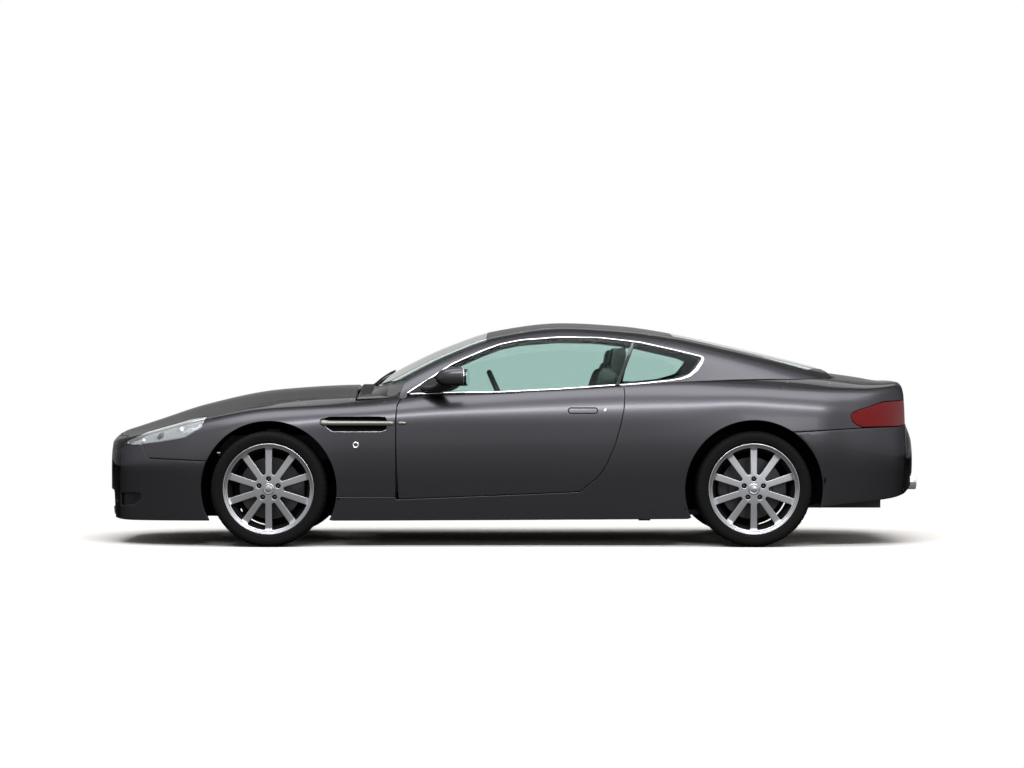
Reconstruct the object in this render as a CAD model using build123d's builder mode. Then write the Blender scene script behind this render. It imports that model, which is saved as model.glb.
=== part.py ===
"""Two-door grand-touring coupe, built as an assembly of separate panels, glass, trim and running gear.

Millimetres. +X points forward, +Y to the car's left, +Z up. The origin is on the ground, under the
middle of the car's overall length. Every panel is cut from the same lofted skins, so that panels meet
along shared outlines with one named shut gap between them.
"""

import math
import os

from build123d import *

# ---------------------------------------------------------------- driving dimensions
WHEELBASE = 2740
FRONT_AXLE_X = 1368
REAR_AXLE_X = FRONT_AXLE_X - WHEELBASE
TRACK_FRONT = 1568
TRACK_REAR = 1556
TYRE_RADIUS = 328
TYRE_WIDTH_FRONT = 235
TYRE_WIDTH_REAR = 275
BEAD_RADIUS = 241.3  # a 19 inch wheel
FLANGE_RADIUS = 258
ARCH_RADIUS_FRONT = 384
ARCH_RADIUS_REAR = 388
LINER_MARGIN = 14  # how much wider the wheel well is than its arch lip
WELL_INNER_FRONT = 488  # half the space between the front wheel wells
WELL_INNER_REAR = 612

SKIN = 30  # bonnet, wings, bumpers and boot lid
ROOF_WALL = 40
GLASS = 6
SHUT_GAP = 6
GLASS_GAP = 5
SEAT_CLEARANCE = 0.3
AXLE_CLEARANCE = 0.05
STUB_AXLE_RADIUS = 30

CABIN_HALF_WIDTH = 740
WING_ROOT_Y = 745  # inboard of this plane a wing stops at the bulkhead's front face
SCUTTLE_FRONT = 886
SCUTTLE_BOTTOM = 800
PANE_LAP = 12  # how far a fixed pane laps its flange
CABIN_FRONT = 700
CABIN_REAR = -1200
FLOOR_TOP = 200
FLOOR_UNDER = 170
FLOOR_HALF_WIDTH = 690
FLOOR_REAR = -1130
TAILPIPE_RADIUS = 38
TAILPIPE_Z = 352
TAILPIPE_YS = (340, 430)
TAILPIPE_HOLE_MARGIN = 8
JACK_PAD_XS = (780, -760)
JACK_PAD_Y = 760
JACK_PAD_Z = 138
BAY_FRONT = 2190
BAY_REAR = 830
BAY_HALF_WIDTH = 448
BOOT_FRONT = -1290
BOOT_REAR = -2160
BOOT_HALF_WIDTH = 560
BOOT_FLOOR = 400
BOOT_FLOOR_WALL = 30
AXLE_BAY = (-1240, -1640, 500)  # x from, x to, z of its roof
SHELF_UNDERSIDE = 850

DOOR_STEP_Y = 765  # outboard of this plane a door fills its outline, inboard it is smaller by its rebate
DOOR_REBATE = 34
DOOR_SWEEP_ROOM = 20  # how far inside the cabin wall the opening reaches, for the door's front edge as it swings
DOOR_FOOT = 273  # height of the lower front corner of a door
DOOR_CORNER_ROOM = (470, 612, 735, 822)  # x and y where the door's lower front corner passes over the sill
DOOR_HINGE = (540, 880)  # x, y
DOOR_HINGE_HEIGHTS = (400, 660)

# ---------------------------------------------------------------- skins
FILLET_SHARE = 0.47  # share of the shorter run beside a corner that its fillet takes

# A row is a cross-section: x, crown height, then the section's corners from shoulder to sill as y, z.
LOWER_BODY = [
    # x, crown, shoulder, flank, waist, sill
    (2350, 584, 80, 578, 160, 556, 180, 440, 160, 245),
    (2332, 616, 170, 603, 315, 575, 345, 450, 320, 175),
    (2290, 645, 260, 618, 455, 590, 495, 460, 460, 148),
    (2210, 672, 350, 633, 575, 607, 625, 480, 580, 140),
    (2060, 722, 450, 668, 690, 640, 752, 500, 700, 142),
    (1800, 806, 570, 735, 800, 700, 862, 510, 815, 146),
    (1368, 891, 660, 812, 888, 765, 926, 520, 876, 148),
    (900, 918, 720, 835, 890, 772, 905, 500, 862, 148),
    (320, 922, 790, 878, 895, 775, 905, 500, 860, 150),
    (-400, 935, 805, 915, 905, 785, 912, 500, 866, 154),
    (-950, 955, 785, 948, 915, 815, 928, 540, 880, 158),
    (-1372, 985, 730, 955, 908, 860, 946, 585, 896, 165),
    (-1750, 1003, 640, 945, 880, 862, 915, 600, 868, 220),
    (-2040, 965, 520, 925, 770, 878, 815, 610, 770, 260),
    (-2190, 938, 390, 930, 600, 900, 640, 640, 600, 300),
    (-2245, 940, 240, 934, 400, 915, 430, 660, 400, 420),
    (-2264, 938, 120, 934, 210, 922, 220, 680, 200, 560),
]
TAIL = [
    # x, crown, shoulder, flank, waist, sill
    (-1900, 760, 600, 750, 800, 720, 880, 560, 835, 240),
    (-2060, 768, 560, 760, 770, 730, 842, 540, 795, 258),
    (-2180, 768, 500, 760, 700, 725, 772, 520, 722, 272),
    (-2250, 745, 440, 738, 610, 700, 682, 500, 632, 290),
    (-2300, 680, 370, 674, 520, 645, 580, 485, 530, 325),
    (-2335, 610, 270, 606, 370, 585, 410, 480, 375, 370),
    (-2350, 540, 130, 537, 190, 525, 210, 480, 190, 430),
]
GREENHOUSE = [
    # x, crown, roof edge, cant rail, belt
    (1010, 800, 560, 770, 680, 730, 740, 680),
    (820, 917, 580, 872, 705, 820, 765, 740),
    (600, 1042, 600, 985, 725, 925, 800, 800),
    (353, 1154, 570, 1100, 690, 1025, 812, 820),
    (100, 1236, 530, 1190, 655, 1110, 830, 830),
    (-300, 1284, 500, 1245, 630, 1165, 838, 835),
    (-650, 1266, 500, 1228, 635, 1150, 840, 845),
    (-950, 1222, 505, 1190, 640, 1115, 825, 855),
    (-1250, 1158, 500, 1128, 640, 1055, 795, 870),
    (-1600, 1076, 460, 1050, 600, 985, 730, 870),
    (-1840, 1013, 420, 990, 550, 935, 660, 860),
    (-2000, 955, 390, 930, 500, 880, 590, 820),
]


def section_corners(crown, corners):
    """Corners of a whole section, right sill to left sill, with an apex whose fillet touches the crown."""
    shoulder_z = corners[0][1]
    apex = (0, shoulder_z + (crown - shoulder_z) / (1 - FILLET_SHARE / 2))
    return [(-y, z) for y, z in reversed(corners)] + [apex] + corners


def fillet_radii(points):
    """The largest smooth fillet at each inner corner: its tangents take FILLET_SHARE of the shorter run."""
    radii = []
    for before, corner, after in zip(points, points[1:], points[2:]):
        run_in = Vector(*corner) - Vector(*before)
        run_out = Vector(*after) - Vector(*corner)
        turn = math.radians(run_in.get_angle(run_out))
        radii.append(FILLET_SHARE * min(run_in.length, run_out.length) / math.tan(turn / 2))
    return radii


def lofted_skin(table, inset=0.0, x_from=None, x_to=None):
    """Lofts a table's sections, each drawn in by inset, keeping the rows between x_from and x_to."""
    with BuildPart() as skin:
        for x, crown, *rest in table:
            if (x_from is not None and x > x_from) or (x_to is not None and x < x_to):
                continue
            points = section_corners(crown, list(zip(rest[0::2], rest[1::2])))
            with BuildSketch(Plane.YZ.offset(x)):
                with BuildLine():
                    FilletPolyline(*points, radius=fillet_radii(points))
                    Line(points[-1], points[0])
                make_face()
                if inset:
                    offset(amount=-inset)
        loft()
    return skin.part


def side_prism(outline, y_from, y_to):
    """A prism of a side-view outline (x, z) between two planes of y."""
    with BuildPart() as prism:
        with BuildSketch(Plane.XZ.offset(-y_from)):
            with BuildLine():
                Polyline(*outline, close=True)
            make_face()
        extrude(amount=-(y_to - y_from))
    return prism.part


def plan_prism(outline, z_from, z_to):
    """A prism of a plan-view outline (x, y) between two planes of z."""
    with BuildPart() as prism:
        with BuildSketch(Plane.XY.offset(z_from)):
            with BuildLine():
                Polyline(*outline, close=True)
            make_face()
        extrude(amount=z_to - z_from)
    return prism.part


def block(x_from, x_to, y_from, y_to, z_from, z_to):
    """An upright block between pairs of planes."""
    with BuildPart() as piece:
        with Locations(((x_from + x_to) / 2, (y_from + y_to) / 2, (z_from + z_to) / 2)):
            Box(abs(x_to - x_from), abs(y_to - y_from), abs(z_to - z_from))
    return piece.part


def grown(outline, amount):
    """An outline moved outwards (or inwards, when negative) by an amount, corners kept sharp."""
    count = len(outline)
    area = sum(
        outline[i][0] * outline[(i + 1) % count][1] - outline[(i + 1) % count][0] * outline[i][1]
        for i in range(count)
    )
    turn = 1 if area > 0 else -1
    result = []
    for i in range(count):
        before, here, after = outline[i - 1], outline[i], outline[(i + 1) % count]
        into = Vector(here[0] - before[0], here[1] - before[1]).normalized()
        out = Vector(after[0] - here[0], after[1] - here[1]).normalized()
        normal_in = Vector(into.Y * turn, -into.X * turn)
        normal_out = Vector(out.Y * turn, -out.X * turn)
        middle = (normal_in + normal_out).normalized()
        reach = amount / max(0.35, middle.dot(normal_in))
        result.append((here[0] + middle.X * reach, here[1] + middle.Y * reach))
    return result


def both_sides(half):
    """A plan outline (x, y) drawn for the left half from the front centreline to the rear one, made whole."""
    return half + [(x, -y) for x, y in reversed(half) if y > 0]


def on_right(left):
    """The mirror image of a left-hand piece."""
    return mirror(left, about=Plane.XZ, mode=Mode.PRIVATE)


# ---------------------------------------------------------------- shut lines, in side view (x, z)
DOOR_OUTLINE = [
    (586, 868.7), (589, 860), (620, 839), (640, 801), (646, 726), (646, 586), (641, 424), (633, DOOR_FOOT),
    (-111, 303), (-388, 316), (-435, 354), (-478, 386), (-515, 429), (-543, 478), (-585, 575),
    (-616, 683), (-636, 774), (-643, 853), (-634, 920.7), (-598, 920.7), (-280, 897.7), (61, 880.7), (311, 876.7),
]
DOOR_INNER_OUTLINE = [  # the door's inboard part, inside its rebate
    (545, 868), (590, 780), (606, 700), (606, 420), (596, 312), (-100, 338), (-380, 350), (-440, 410),
    (-502, 490), (-545, 590), (-575, 690), (-600, 780), (-606, 918), (-598, 920.7), (-280, 897.7), (61, 880.7), (311, 876.7),
]
DOOR_GLASS_OUTLINE = [
    (585, 869), (311, 877), (61, 881), (-280, 898), (-598, 921), (-694, 1161),
    (-513, 1182), (-283, 1185), (-53, 1168), (62, 1144), (177, 1101), (336, 1030),
]
QUARTER_GLASS_OUTLINE = [
    (-618, 921), (-734, 929), (-905, 946), (-1020, 978), (-1093, 1074), (-970, 1104), (-742, 1156),
    (-712, 1159),
]
HEADLAMP_OUTLINE = [
    (2209, 577), (2158, 571), (2007, 593), (1849, 621), (1756, 677), (1733, 734), (1828, 719),
    (1950, 685), (2080, 649), (2157, 613), (2200, 595),
]
TAIL_LAMP_OUTLINE = [(-1936, 751), (-2122, 819), (-2262, 828), (-2280, 700), (-2217, 681), (-1998, 673)]
BUMPER_SPLIT = [(1700, 486), (2060, 500), (2110, 578), (2209, 577), (2226, 604)]  # top edge of the front bumper
WING_REAR_EDGE = [(652, 273), (652, 726), (646, 803), (625, 843), (592, 866)]
REAR_BUMPER_SPLIT = [(-1620, 651), (-1998, 673), (-2217, 681), (-2225, 822), (-2262, 824)]
SILL_TOP = 283

# Shut lines in plan (x, y), left half, front to rear.
BONNET_HALF = [
    (2302, 0), (2298, 150), (2280, 290), (2220, 420), (2165, 460), (2090, 500), (1965, 555), (1840, 600),
    (1740, 630), (1549, 665), (1408, 680), (1170, 700), (983, 715), (886, 720), (896, 400), (902, 0),
]
BOOT_LID_HALF = [(-1860, 0), (-1856, 180), (-1838, 330), (-1850, 400), (-2150, 425), (-2300, 425), (-2300, 0)]
ROOF_HALF = [(136, 0), (139, 300), (141.7, 480), (-940, 455), (-939, 0)]
WINDSCREEN_HALF = [(804, 0), (795, 250), (745, 480), (670, 620), (600, 678), (143, 563), (139, 300), (136, 0)]
REAR_WINDOW_HALF = [(-939, 0), (-941, 440), (-1721, 487), (-1800, 330), (-1836, 170), (-1847, 0)]

# Inside faces of the cabin above the belt: x, roof z, roof edge y z, cant rail y z, belt y z.
HEADROOM = [
    (690, 912, 470, 886, 610, 850, 690, 780),
    (600, 985, 540, 935, 655, 880, 725, 780),
    (353, 1108, 530, 1060, 640, 985, 735, 780),
    (100, 1190, 500, 1146, 605, 1070, 740, 780),
    (-300, 1240, 475, 1200, 585, 1125, 740, 780),
    (-650, 1222, 475, 1183, 590, 1108, 740, 790),
    (-950, 1178, 475, 1143, 590, 1070, 730, 810),
    (-1250, 1114, 465, 1082, 585, 1010, 690, 840),
    (-1600, 1030, 420, 1002, 540, 938, 620, 885),
    (-1800, 978, 380, 955, 480, 920, 520, 885),
]

# ---------------------------------------------------------------- skins used by the panels
lower_body = lofted_skin(LOWER_BODY)
lower_body_inside = lofted_skin(LOWER_BODY, SKIN, 2310, -2200)
tail = lofted_skin(TAIL)
greenhouse = lofted_skin(GREENHOUSE)
greenhouse_under_glass = lofted_skin(GREENHOUSE, GLASS + SEAT_CLEARANCE)
greenhouse_behind_glass = lofted_skin(GREENHOUSE, GLASS)
greenhouse_outside = lofted_skin(GREENHOUSE, -14)
greenhouse_touch = lofted_skin(GREENHOUSE, -SEAT_CLEARANCE)
lower_touch = lofted_skin(LOWER_BODY, -SEAT_CLEARANCE)

with BuildPart() as headroom:
    for x, crown, *rest in HEADROOM:
        corners = list(zip(rest[0::2], rest[1::2]))
        with BuildSketch(Plane.YZ.offset(x)):
            with BuildLine():
                Polyline(*([(-y, z) for y, z in reversed(corners)] + [(0, crown)] + corners), close=True)
            make_face()
    loft()

with BuildPart() as cabin_space:
    add(headroom.part)
    add(block(CABIN_FRONT, -900, -CABIN_HALF_WIDTH, CABIN_HALF_WIDTH, FLOOR_TOP, 800))
    add(block(-880, CABIN_REAR, -WELL_INNER_REAR + 40, WELL_INNER_REAR - 40, FLOOR_TOP, 860))

# ---------------------------------------------------------------- spaces cut from several panels
well_front_radius = ARCH_RADIUS_FRONT + LINER_MARGIN
well_rear_radius = ARCH_RADIUS_REAR + LINER_MARGIN
ARCH_LIP_Y = 880


def wheel_well(axle_x, lip_radius, inner_y):
    """The space round one left-hand wheel: wide inside, its outermost part the arch lip's own radius."""
    with BuildPart() as well:
        with BuildSketch(Plane.XZ.offset(-inner_y)):
            with Locations((axle_x, TYRE_RADIUS)):
                Circle(lip_radius + LINER_MARGIN)
        extrude(amount=-(ARCH_LIP_Y - inner_y))
        with BuildSketch(Plane.XZ.offset(-ARCH_LIP_Y)):
            with Locations((axle_x, TYRE_RADIUS)):
                Circle(lip_radius)
        extrude(amount=-120)
        with Locations((axle_x, (inner_y + 1000) / 2, TYRE_RADIUS / 2 - 60)):
            Box(2 * lip_radius - 16, 1000 - inner_y, TYRE_RADIUS - 120)
    return well.part


well_front = wheel_well(FRONT_AXLE_X, ARCH_RADIUS_FRONT, WELL_INNER_FRONT)
well_rear = wheel_well(REAR_AXLE_X, ARCH_RADIUS_REAR, WELL_INNER_REAR)
bonnet_outline = both_sides(BONNET_HALF)
boot_lid_outline = both_sides(BOOT_LID_HALF)
roof_outline = both_sides(ROOF_HALF)
engine_bay = block(BAY_REAR, BAY_FRONT, -BAY_HALF_WIDTH, BAY_HALF_WIDTH, 60, 560)
bonnet_well = plan_prism(grown(bonnet_outline, SHUT_GAP), 500, 1100)
UNDER_BONNET = [(2320, 560), (2200, 545), (1965, 625), (1549, 720), (983, 770), (860, 772), (860, 1100), (2320, 1100)]
bonnet_room = side_prism(UNDER_BONNET, -760, 760)

# ---------------------------------------------------------------- bonnet, front bumper, wings, headlamps
with BuildPart() as bonnet:
    add(plan_prism(bonnet_outline, 560, 1000))
    add(lower_body, mode=Mode.INTERSECT, clean=False)
    add(lower_body_inside, mode=Mode.SUBTRACT, clean=False)
bonnet.part.label = "bonnet"

with BuildPart() as bonnet_space:
    add(bonnet_well)
    add(bonnet_room, mode=Mode.INTERSECT)

lamp_inner_edge = [(2250, 430), (2180, 462), (2100, 502), (1965, 560), (1700, 645), (1700, 1000), (2250, 1000)]
with BuildPart() as headlamp_left:
    add(side_prism(HEADLAMP_OUTLINE, 430, 1000))
    add(plan_prism(grown(lamp_inner_edge, -SHUT_GAP), 400, 1000), mode=Mode.INTERSECT)
    add(lower_body, mode=Mode.INTERSECT)
with BuildPart() as headlamp_room:
    add(side_prism(grown(HEADLAMP_OUTLINE, SEAT_CLEARANCE), 430, 1000))
    add(plan_prism(lamp_inner_edge, 400, 1000), mode=Mode.INTERSECT)
with BuildPart() as headlamps:
    add(headlamp_left.part)
    add(on_right(headlamp_left.part))
headlamps.part.label = "headlamps"

PLATE_PLINTH_X = 2352  # the plate plinth is the foremost face
PLATE_HALF_WIDTH = 262
GRILLE_OPENING = (330, 400, 585)  # half width, from z, to z
INTAKE_OPENING = (400, 212, 300)
with BuildPart() as front_bumper:
    add(side_prism([(2400, 100), (1560, 100), (1560, 486)] + BUMPER_SPLIT + [(2232, 700), (2400, 700)], -960, 960))
    add(lower_body, mode=Mode.INTERSECT)
    openings = [
        block(2230, 2370, -half_width, half_width, z_from, z_to)
        for half_width, z_from, z_to in (GRILLE_OPENING, INTAKE_OPENING)
    ]
    side_cuts = [well_front, headlamp_room.part]
    add(
        side_cuts + [on_right(cut) for cut in side_cuts] + openings + [engine_bay, bonnet_space.part],
        mode=Mode.SUBTRACT,
        clean=False,
    )
    add(block(2290, PLATE_PLINTH_X, -PLATE_HALF_WIDTH, PLATE_HALF_WIDTH, 306, 396))
front_bumper.part.label = "front_bumper"

wing_outer_side = (
    [(1700, 486 + SEAT_CLEARANCE)]
    + [(x, z + SEAT_CLEARANCE) for x, z in BUMPER_SPLIT[1:]]
    + [(2226 + SEAT_CLEARANCE, 1000), (592, 1000)]
    + WING_REAR_EDGE[:0:-1]
    + [(652, SILL_TOP), (1300, SILL_TOP), (1300, 486 + SEAT_CLEARANCE)]
)
wing_inner_side = (
    [(1700, 486 + SEAT_CLEARANCE)]
    + [(x, z + SEAT_CLEARANCE) for x, z in BUMPER_SPLIT[1:]]
    + [(2226 + SEAT_CLEARANCE, 1000), (SCUTTLE_FRONT, 1000), (SCUTTLE_FRONT, SCUTTLE_BOTTOM)]
    + [(BAY_REAR, SCUTTLE_BOTTOM), (BAY_REAR, SILL_TOP), (1300, SILL_TOP), (1300, 486 + SEAT_CLEARANCE)]
)
VENT_OPENING = [(1030, 672), (1036, 735), (676, 724), (668, 688)]
VENT_FLOOR_Y = 860
with BuildPart() as wing_left:
    add(side_prism(wing_outer_side, WING_ROOT_Y, 1000))
    add(side_prism(wing_inner_side, BAY_HALF_WIDTH, WING_ROOT_Y))
    add(lower_body, mode=Mode.INTERSECT)
    add(
        [well_front, bonnet_space.part, headlamp_room.part, side_prism(VENT_OPENING, VENT_FLOOR_Y, 1000)],
        mode=Mode.SUBTRACT,
        clean=False,
    )
wing_left.part.label = "wing_left"

# ---------------------------------------------------------------- roof, glass
with BuildPart() as glass_layer:
    add(greenhouse)
    add(greenhouse_behind_glass, mode=Mode.SUBTRACT)

door_glass_prism = side_prism(DOOR_GLASS_OUTLINE, 400, 900)
quarter_glass_prism = side_prism(QUARTER_GLASS_OUTLINE, 400, 900)
with BuildPart() as windscreen:
    add(plan_prism(both_sides(WINDSCREEN_HALF), 880, 1300))
    add(glass_layer.part, mode=Mode.INTERSECT)
windscreen.part.label = "windscreen"
with BuildPart() as rear_window:
    add(plan_prism(both_sides(REAR_WINDOW_HALF), 940, 1300))
    add(glass_layer.part, mode=Mode.INTERSECT)
rear_window.part.label = "rear_window"
with BuildPart() as door_glass_left:
    add(door_glass_prism)
    add(glass_layer.part, mode=Mode.INTERSECT)
door_glass_left.part.label = "door_glass_left"
with BuildPart() as quarter_glass_left:
    add(quarter_glass_prism)
    add(glass_layer.part, mode=Mode.INTERSECT)
with BuildPart() as quarter_glass:
    add(quarter_glass_left.part)
    add(on_right(quarter_glass_left.part))
quarter_glass.part.label = "quarter_glass"

with BuildPart() as roof:
    add(plan_prism(grown(roof_outline, -SEAT_CLEARANCE), 1100, 1400))
    add(greenhouse, mode=Mode.INTERSECT)
    add(headroom.part, mode=Mode.SUBTRACT)
roof.part.label = "roof"

# ---------------------------------------------------------------- boot lid, rear bumper, tail lamps
with BuildPart() as rear_skin:
    add(lower_body)
    add(tail)
    add(block(-1500, -2500, -1000, 1000, 0, 1200), mode=Mode.INTERSECT)
BOOT_LID_BOTTOM = 830
BOOT_LID_SIDE = [
    (-1800, 1100), (-1850, 960), (-2150, 880), (-2215, BOOT_LID_BOTTOM), (-2300, BOOT_LID_BOTTOM), (-2300, 1100),
]
with BuildPart() as boot_lid:
    add(plan_prism(boot_lid_outline, 820, 1100))
    add(side_prism(BOOT_LID_SIDE, -600, 600), mode=Mode.INTERSECT)
    add(rear_skin.part, mode=Mode.INTERSECT)
    add(lower_body_inside, mode=Mode.SUBTRACT)
boot_lid.part.label = "boot_lid"
with BuildPart() as boot_lid_space:
    add(plan_prism(grown(boot_lid_outline, SHUT_GAP), 820 - SHUT_GAP, 1100))

with BuildPart() as tail_lamp_left:
    add(side_prism(TAIL_LAMP_OUTLINE, 440, 1000))
    add(rear_skin.part, mode=Mode.INTERSECT)
    add(plan_prism([(-1900, 640), (-2120, 590), (-2170, 440), (-2300, 440), (-2300, 1000), (-1900, 1000)], 600, 900),
        mode=Mode.INTERSECT)
with BuildPart() as tail_lamps:
    add(tail_lamp_left.part)
    add(on_right(tail_lamp_left.part))
tail_lamps.part.label = "tail_lamps"
REAR_BUMPER_SIDE = [(-1620, 0)] + REAR_BUMPER_SPLIT + [(-2500, 824), (-2500, 0)]
boot_space = block(-1640, BOOT_REAR, -BOOT_HALF_WIDTH, BOOT_HALF_WIDTH, BOOT_FLOOR - BOOT_FLOOR_WALL, SHELF_UNDERSIDE)
with BuildPart() as tail_lamp_room:
    add(side_prism(grown(TAIL_LAMP_OUTLINE, SEAT_CLEARANCE), 440, 1000))
    add(plan_prism([(-1900, 640), (-2120, 590), (-2170, 440), (-2300, 440), (-2300, 1000), (-1900, 1000)], 600, 900),
        mode=Mode.INTERSECT)
with BuildPart() as tailpipe_holes:
    with Locations(*[Location((-2290, side * y, TAILPIPE_Z), (0, 90, 0)) for side in (1, -1) for y in TAILPIPE_YS]):
        Cylinder(TAILPIPE_RADIUS + TAILPIPE_HOLE_MARGIN, 240)
with BuildPart() as rear_bumper:
    add(side_prism(grown(REAR_BUMPER_SIDE, -SEAT_CLEARANCE), -960, 960))
    add(rear_skin.part, mode=Mode.INTERSECT)
    side_cuts = [well_rear, tail_lamp_room.part]
    silencer_room = block(-1600, -2240, -520, 520, 0, BOOT_FLOOR - BOOT_FLOOR_WALL)
    add(
        side_cuts + [on_right(cut) for cut in side_cuts] + [boot_space, silencer_room, tailpipe_holes.part],
        mode=Mode.SUBTRACT,
        clean=False,
    )
    for side in (1, -1):
        add(block(-2228, -2244, side * 290, side * 316, 800, BOOT_LID_BOTTOM - SEAT_CLEARANCE))
rear_bumper.part.label = "rear_bumper"

with BuildPart() as boot_floor:
    add(block(-1640, BOOT_REAR, -BOOT_HALF_WIDTH, BOOT_HALF_WIDTH, BOOT_FLOOR - BOOT_FLOOR_WALL, BOOT_FLOOR))
boot_floor.part.label = "boot_floor"

# ---------------------------------------------------------------- doors
with BuildPart() as door_skin:
    add(lower_body)
    add(greenhouse)
    add(block(-800, 800, 600, 1000, 200, 1000), mode=Mode.INTERSECT)
with BuildPart() as door_left:
    add(side_prism(DOOR_OUTLINE, DOOR_STEP_Y, 1000))
    add(side_prism(DOOR_INNER_OUTLINE, CABIN_HALF_WIDTH, DOOR_STEP_Y))
    add(door_skin.part, mode=Mode.INTERSECT)
door_left.part.label = "door_left"

# ---------------------------------------------------------------- bodyshell
windscreen_outline = both_sides(WINDSCREEN_HALF)
rear_window_outline = both_sides(REAR_WINDOW_HALF)
windscreen_daylight = plan_prism(grown(windscreen_outline, -PANE_LAP), 880, 1300)
rear_daylight = plan_prism(grown(rear_window_outline, -PANE_LAP), 940, 1300)
quarter_daylight = side_prism(grown(QUARTER_GLASS_OUTLINE, -PANE_LAP), 400, 900)
left_half = block(-3000, 3000, 0, 1200, 0, 3000)
with BuildPart() as greenhouse_left:
    add(greenhouse)
    add(left_half, mode=Mode.INTERSECT, clean=False)
with BuildPart() as under_glass_left:
    add(greenhouse_under_glass)
    add(left_half, mode=Mode.INTERSECT, clean=False)
with BuildPart() as lower_body_left:
    add(lower_body)
    add(left_half, mode=Mode.INTERSECT, clean=False)
with BuildPart() as upper_shell_left:
    add(greenhouse_left.part)
    add(
        [
            plan_prism(grown(windscreen_outline, SEAT_CLEARANCE), 880, 1300),
            plan_prism(grown(rear_window_outline, SEAT_CLEARANCE), 940, 1300),
            side_prism(grown(QUARTER_GLASS_OUTLINE, SEAT_CLEARANCE), 400, 900),
        ],
        mode=Mode.SUBTRACT,
        clean=False,
    )
    add(under_glass_left.part, clean=False)
    add(plan_prism(roof_outline, 1100, 1400), mode=Mode.SUBTRACT, clean=False)

CUT = 3000  # past everything
front_cut_outer = WING_REAR_EDGE[:0:-1] + [
    (652, SILL_TOP), (1300, SILL_TOP), (1300, 0), (CUT, 0), (CUT, CUT), (SCUTTLE_FRONT, CUT), (SCUTTLE_FRONT, 845),
    (760, 862), (592, 874),
]
front_cut_inner = [
    (BAY_REAR, SILL_TOP), (1300, SILL_TOP), (1300, 0), (CUT, 0), (CUT, CUT), (SCUTTLE_FRONT, CUT),
    (SCUTTLE_FRONT, SCUTTLE_BOTTOM), (BAY_REAR, SCUTTLE_BOTTOM),
]
front_cut_middle = [
    (BAY_REAR, 0), (CUT, 0), (CUT, CUT), (SCUTTLE_FRONT, CUT), (SCUTTLE_FRONT, SCUTTLE_BOTTOM),
    (BAY_REAR, SCUTTLE_BOTTOM),
]
door_opening = side_prism(grown(DOOR_OUTLINE, SHUT_GAP), CABIN_HALF_WIDTH - DOOR_SWEEP_ROOM, 1000)
door_glass_opening = side_prism(grown(DOOR_GLASS_OUTLINE, GLASS_GAP), 400, 1000)
wing_side_room = side_prism(front_cut_outer, WING_ROOT_Y, 1000)
wing_root_room = side_prism(front_cut_inner, BAY_HALF_WIDTH, WING_ROOT_Y)
with BuildPart() as bodyshell_left:
    add(upper_shell_left.part)
    add(lower_body_left.part, clean=False)
    add(
        [
            wing_side_room, wing_root_room, door_opening, door_glass_opening, well_rear, well_front,
            tail_lamp_room.part, cabin_space.part, windscreen_daylight, rear_daylight, quarter_daylight,
            side_prism(REAR_BUMPER_SIDE, -960, 960),
            side_prism(front_cut_middle, -BAY_HALF_WIDTH, BAY_HALF_WIDTH),
            boot_space, boot_lid_space.part,
            block(-1290, -1660, -BOOT_HALF_WIDTH, BOOT_HALF_WIDTH, 530, SHELF_UNDERSIDE),
            block(AXLE_BAY[0], AXLE_BAY[1], -640, 640, 0, AXLE_BAY[2]),
            block(CABIN_FRONT, FLOOR_REAR, -FLOOR_HALF_WIDTH, FLOOR_HALF_WIDTH, 0, FLOOR_TOP + 1),
            block(BAY_REAR + 10, CABIN_FRONT - 10, -125, 125, 0, 395),
            block(FLOOR_REAR + 10, AXLE_BAY[0] - 10, -165, 165, 0, 265),
            block(*DOOR_CORNER_ROOM, DOOR_FOOT - SHUT_GAP, DOOR_FOOT + 40),
            block(FRONT_AXLE_X - 150, FRONT_AXLE_X - 66, BAY_HALF_WIDTH - 5, WELL_INNER_FRONT + 5, 0, 206),
        ],
        mode=Mode.SUBTRACT,
        clean=False,
    )
with BuildPart() as bodyshell:
    add(bodyshell_left.part)
    for x in JACK_PAD_XS:
        add(block(x - 40, x + 40, JACK_PAD_Y - 30, JACK_PAD_Y + 30, JACK_PAD_Z, 170))
    mirror(about=Plane.XZ)
bodyshell.part.label = "bodyshell"

# ---------------------------------------------------------------- floor, cabin furniture
TUNNEL_HALF_WIDTH = 150
TUNNEL_TOP = 420
TUNNEL_WALL = 25
REAR_TUNNEL_TOP = 290
with BuildPart() as floor:
    add(block(CABIN_FRONT, FLOOR_REAR, -FLOOR_HALF_WIDTH, FLOOR_HALF_WIDTH, FLOOR_UNDER, FLOOR_TOP))
    add(block(CABIN_FRONT, -640, -TUNNEL_HALF_WIDTH, TUNNEL_HALF_WIDTH, FLOOR_UNDER, TUNNEL_TOP))
    add(block(-640, FLOOR_REAR, -TUNNEL_HALF_WIDTH, TUNNEL_HALF_WIDTH, FLOOR_UNDER, REAR_TUNNEL_TOP))
    tunnel_inside = TUNNEL_HALF_WIDTH - TUNNEL_WALL
    add(block(CABIN_FRONT, -610, -tunnel_inside, tunnel_inside, 0, TUNNEL_TOP - TUNNEL_WALL), mode=Mode.SUBTRACT)
    add(block(-600, FLOOR_REAR, -tunnel_inside, tunnel_inside, 0, REAR_TUNNEL_TOP - TUNNEL_WALL), mode=Mode.SUBTRACT)
    add(block(-1640, BOOT_REAR, -BOOT_HALF_WIDTH, BOOT_HALF_WIDTH, BOOT_FLOOR - BOOT_FLOOR_WALL, BOOT_FLOOR))
    add([well_rear, on_right(well_rear)], mode=Mode.SUBTRACT)
floor.part.label = "floor"

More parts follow.
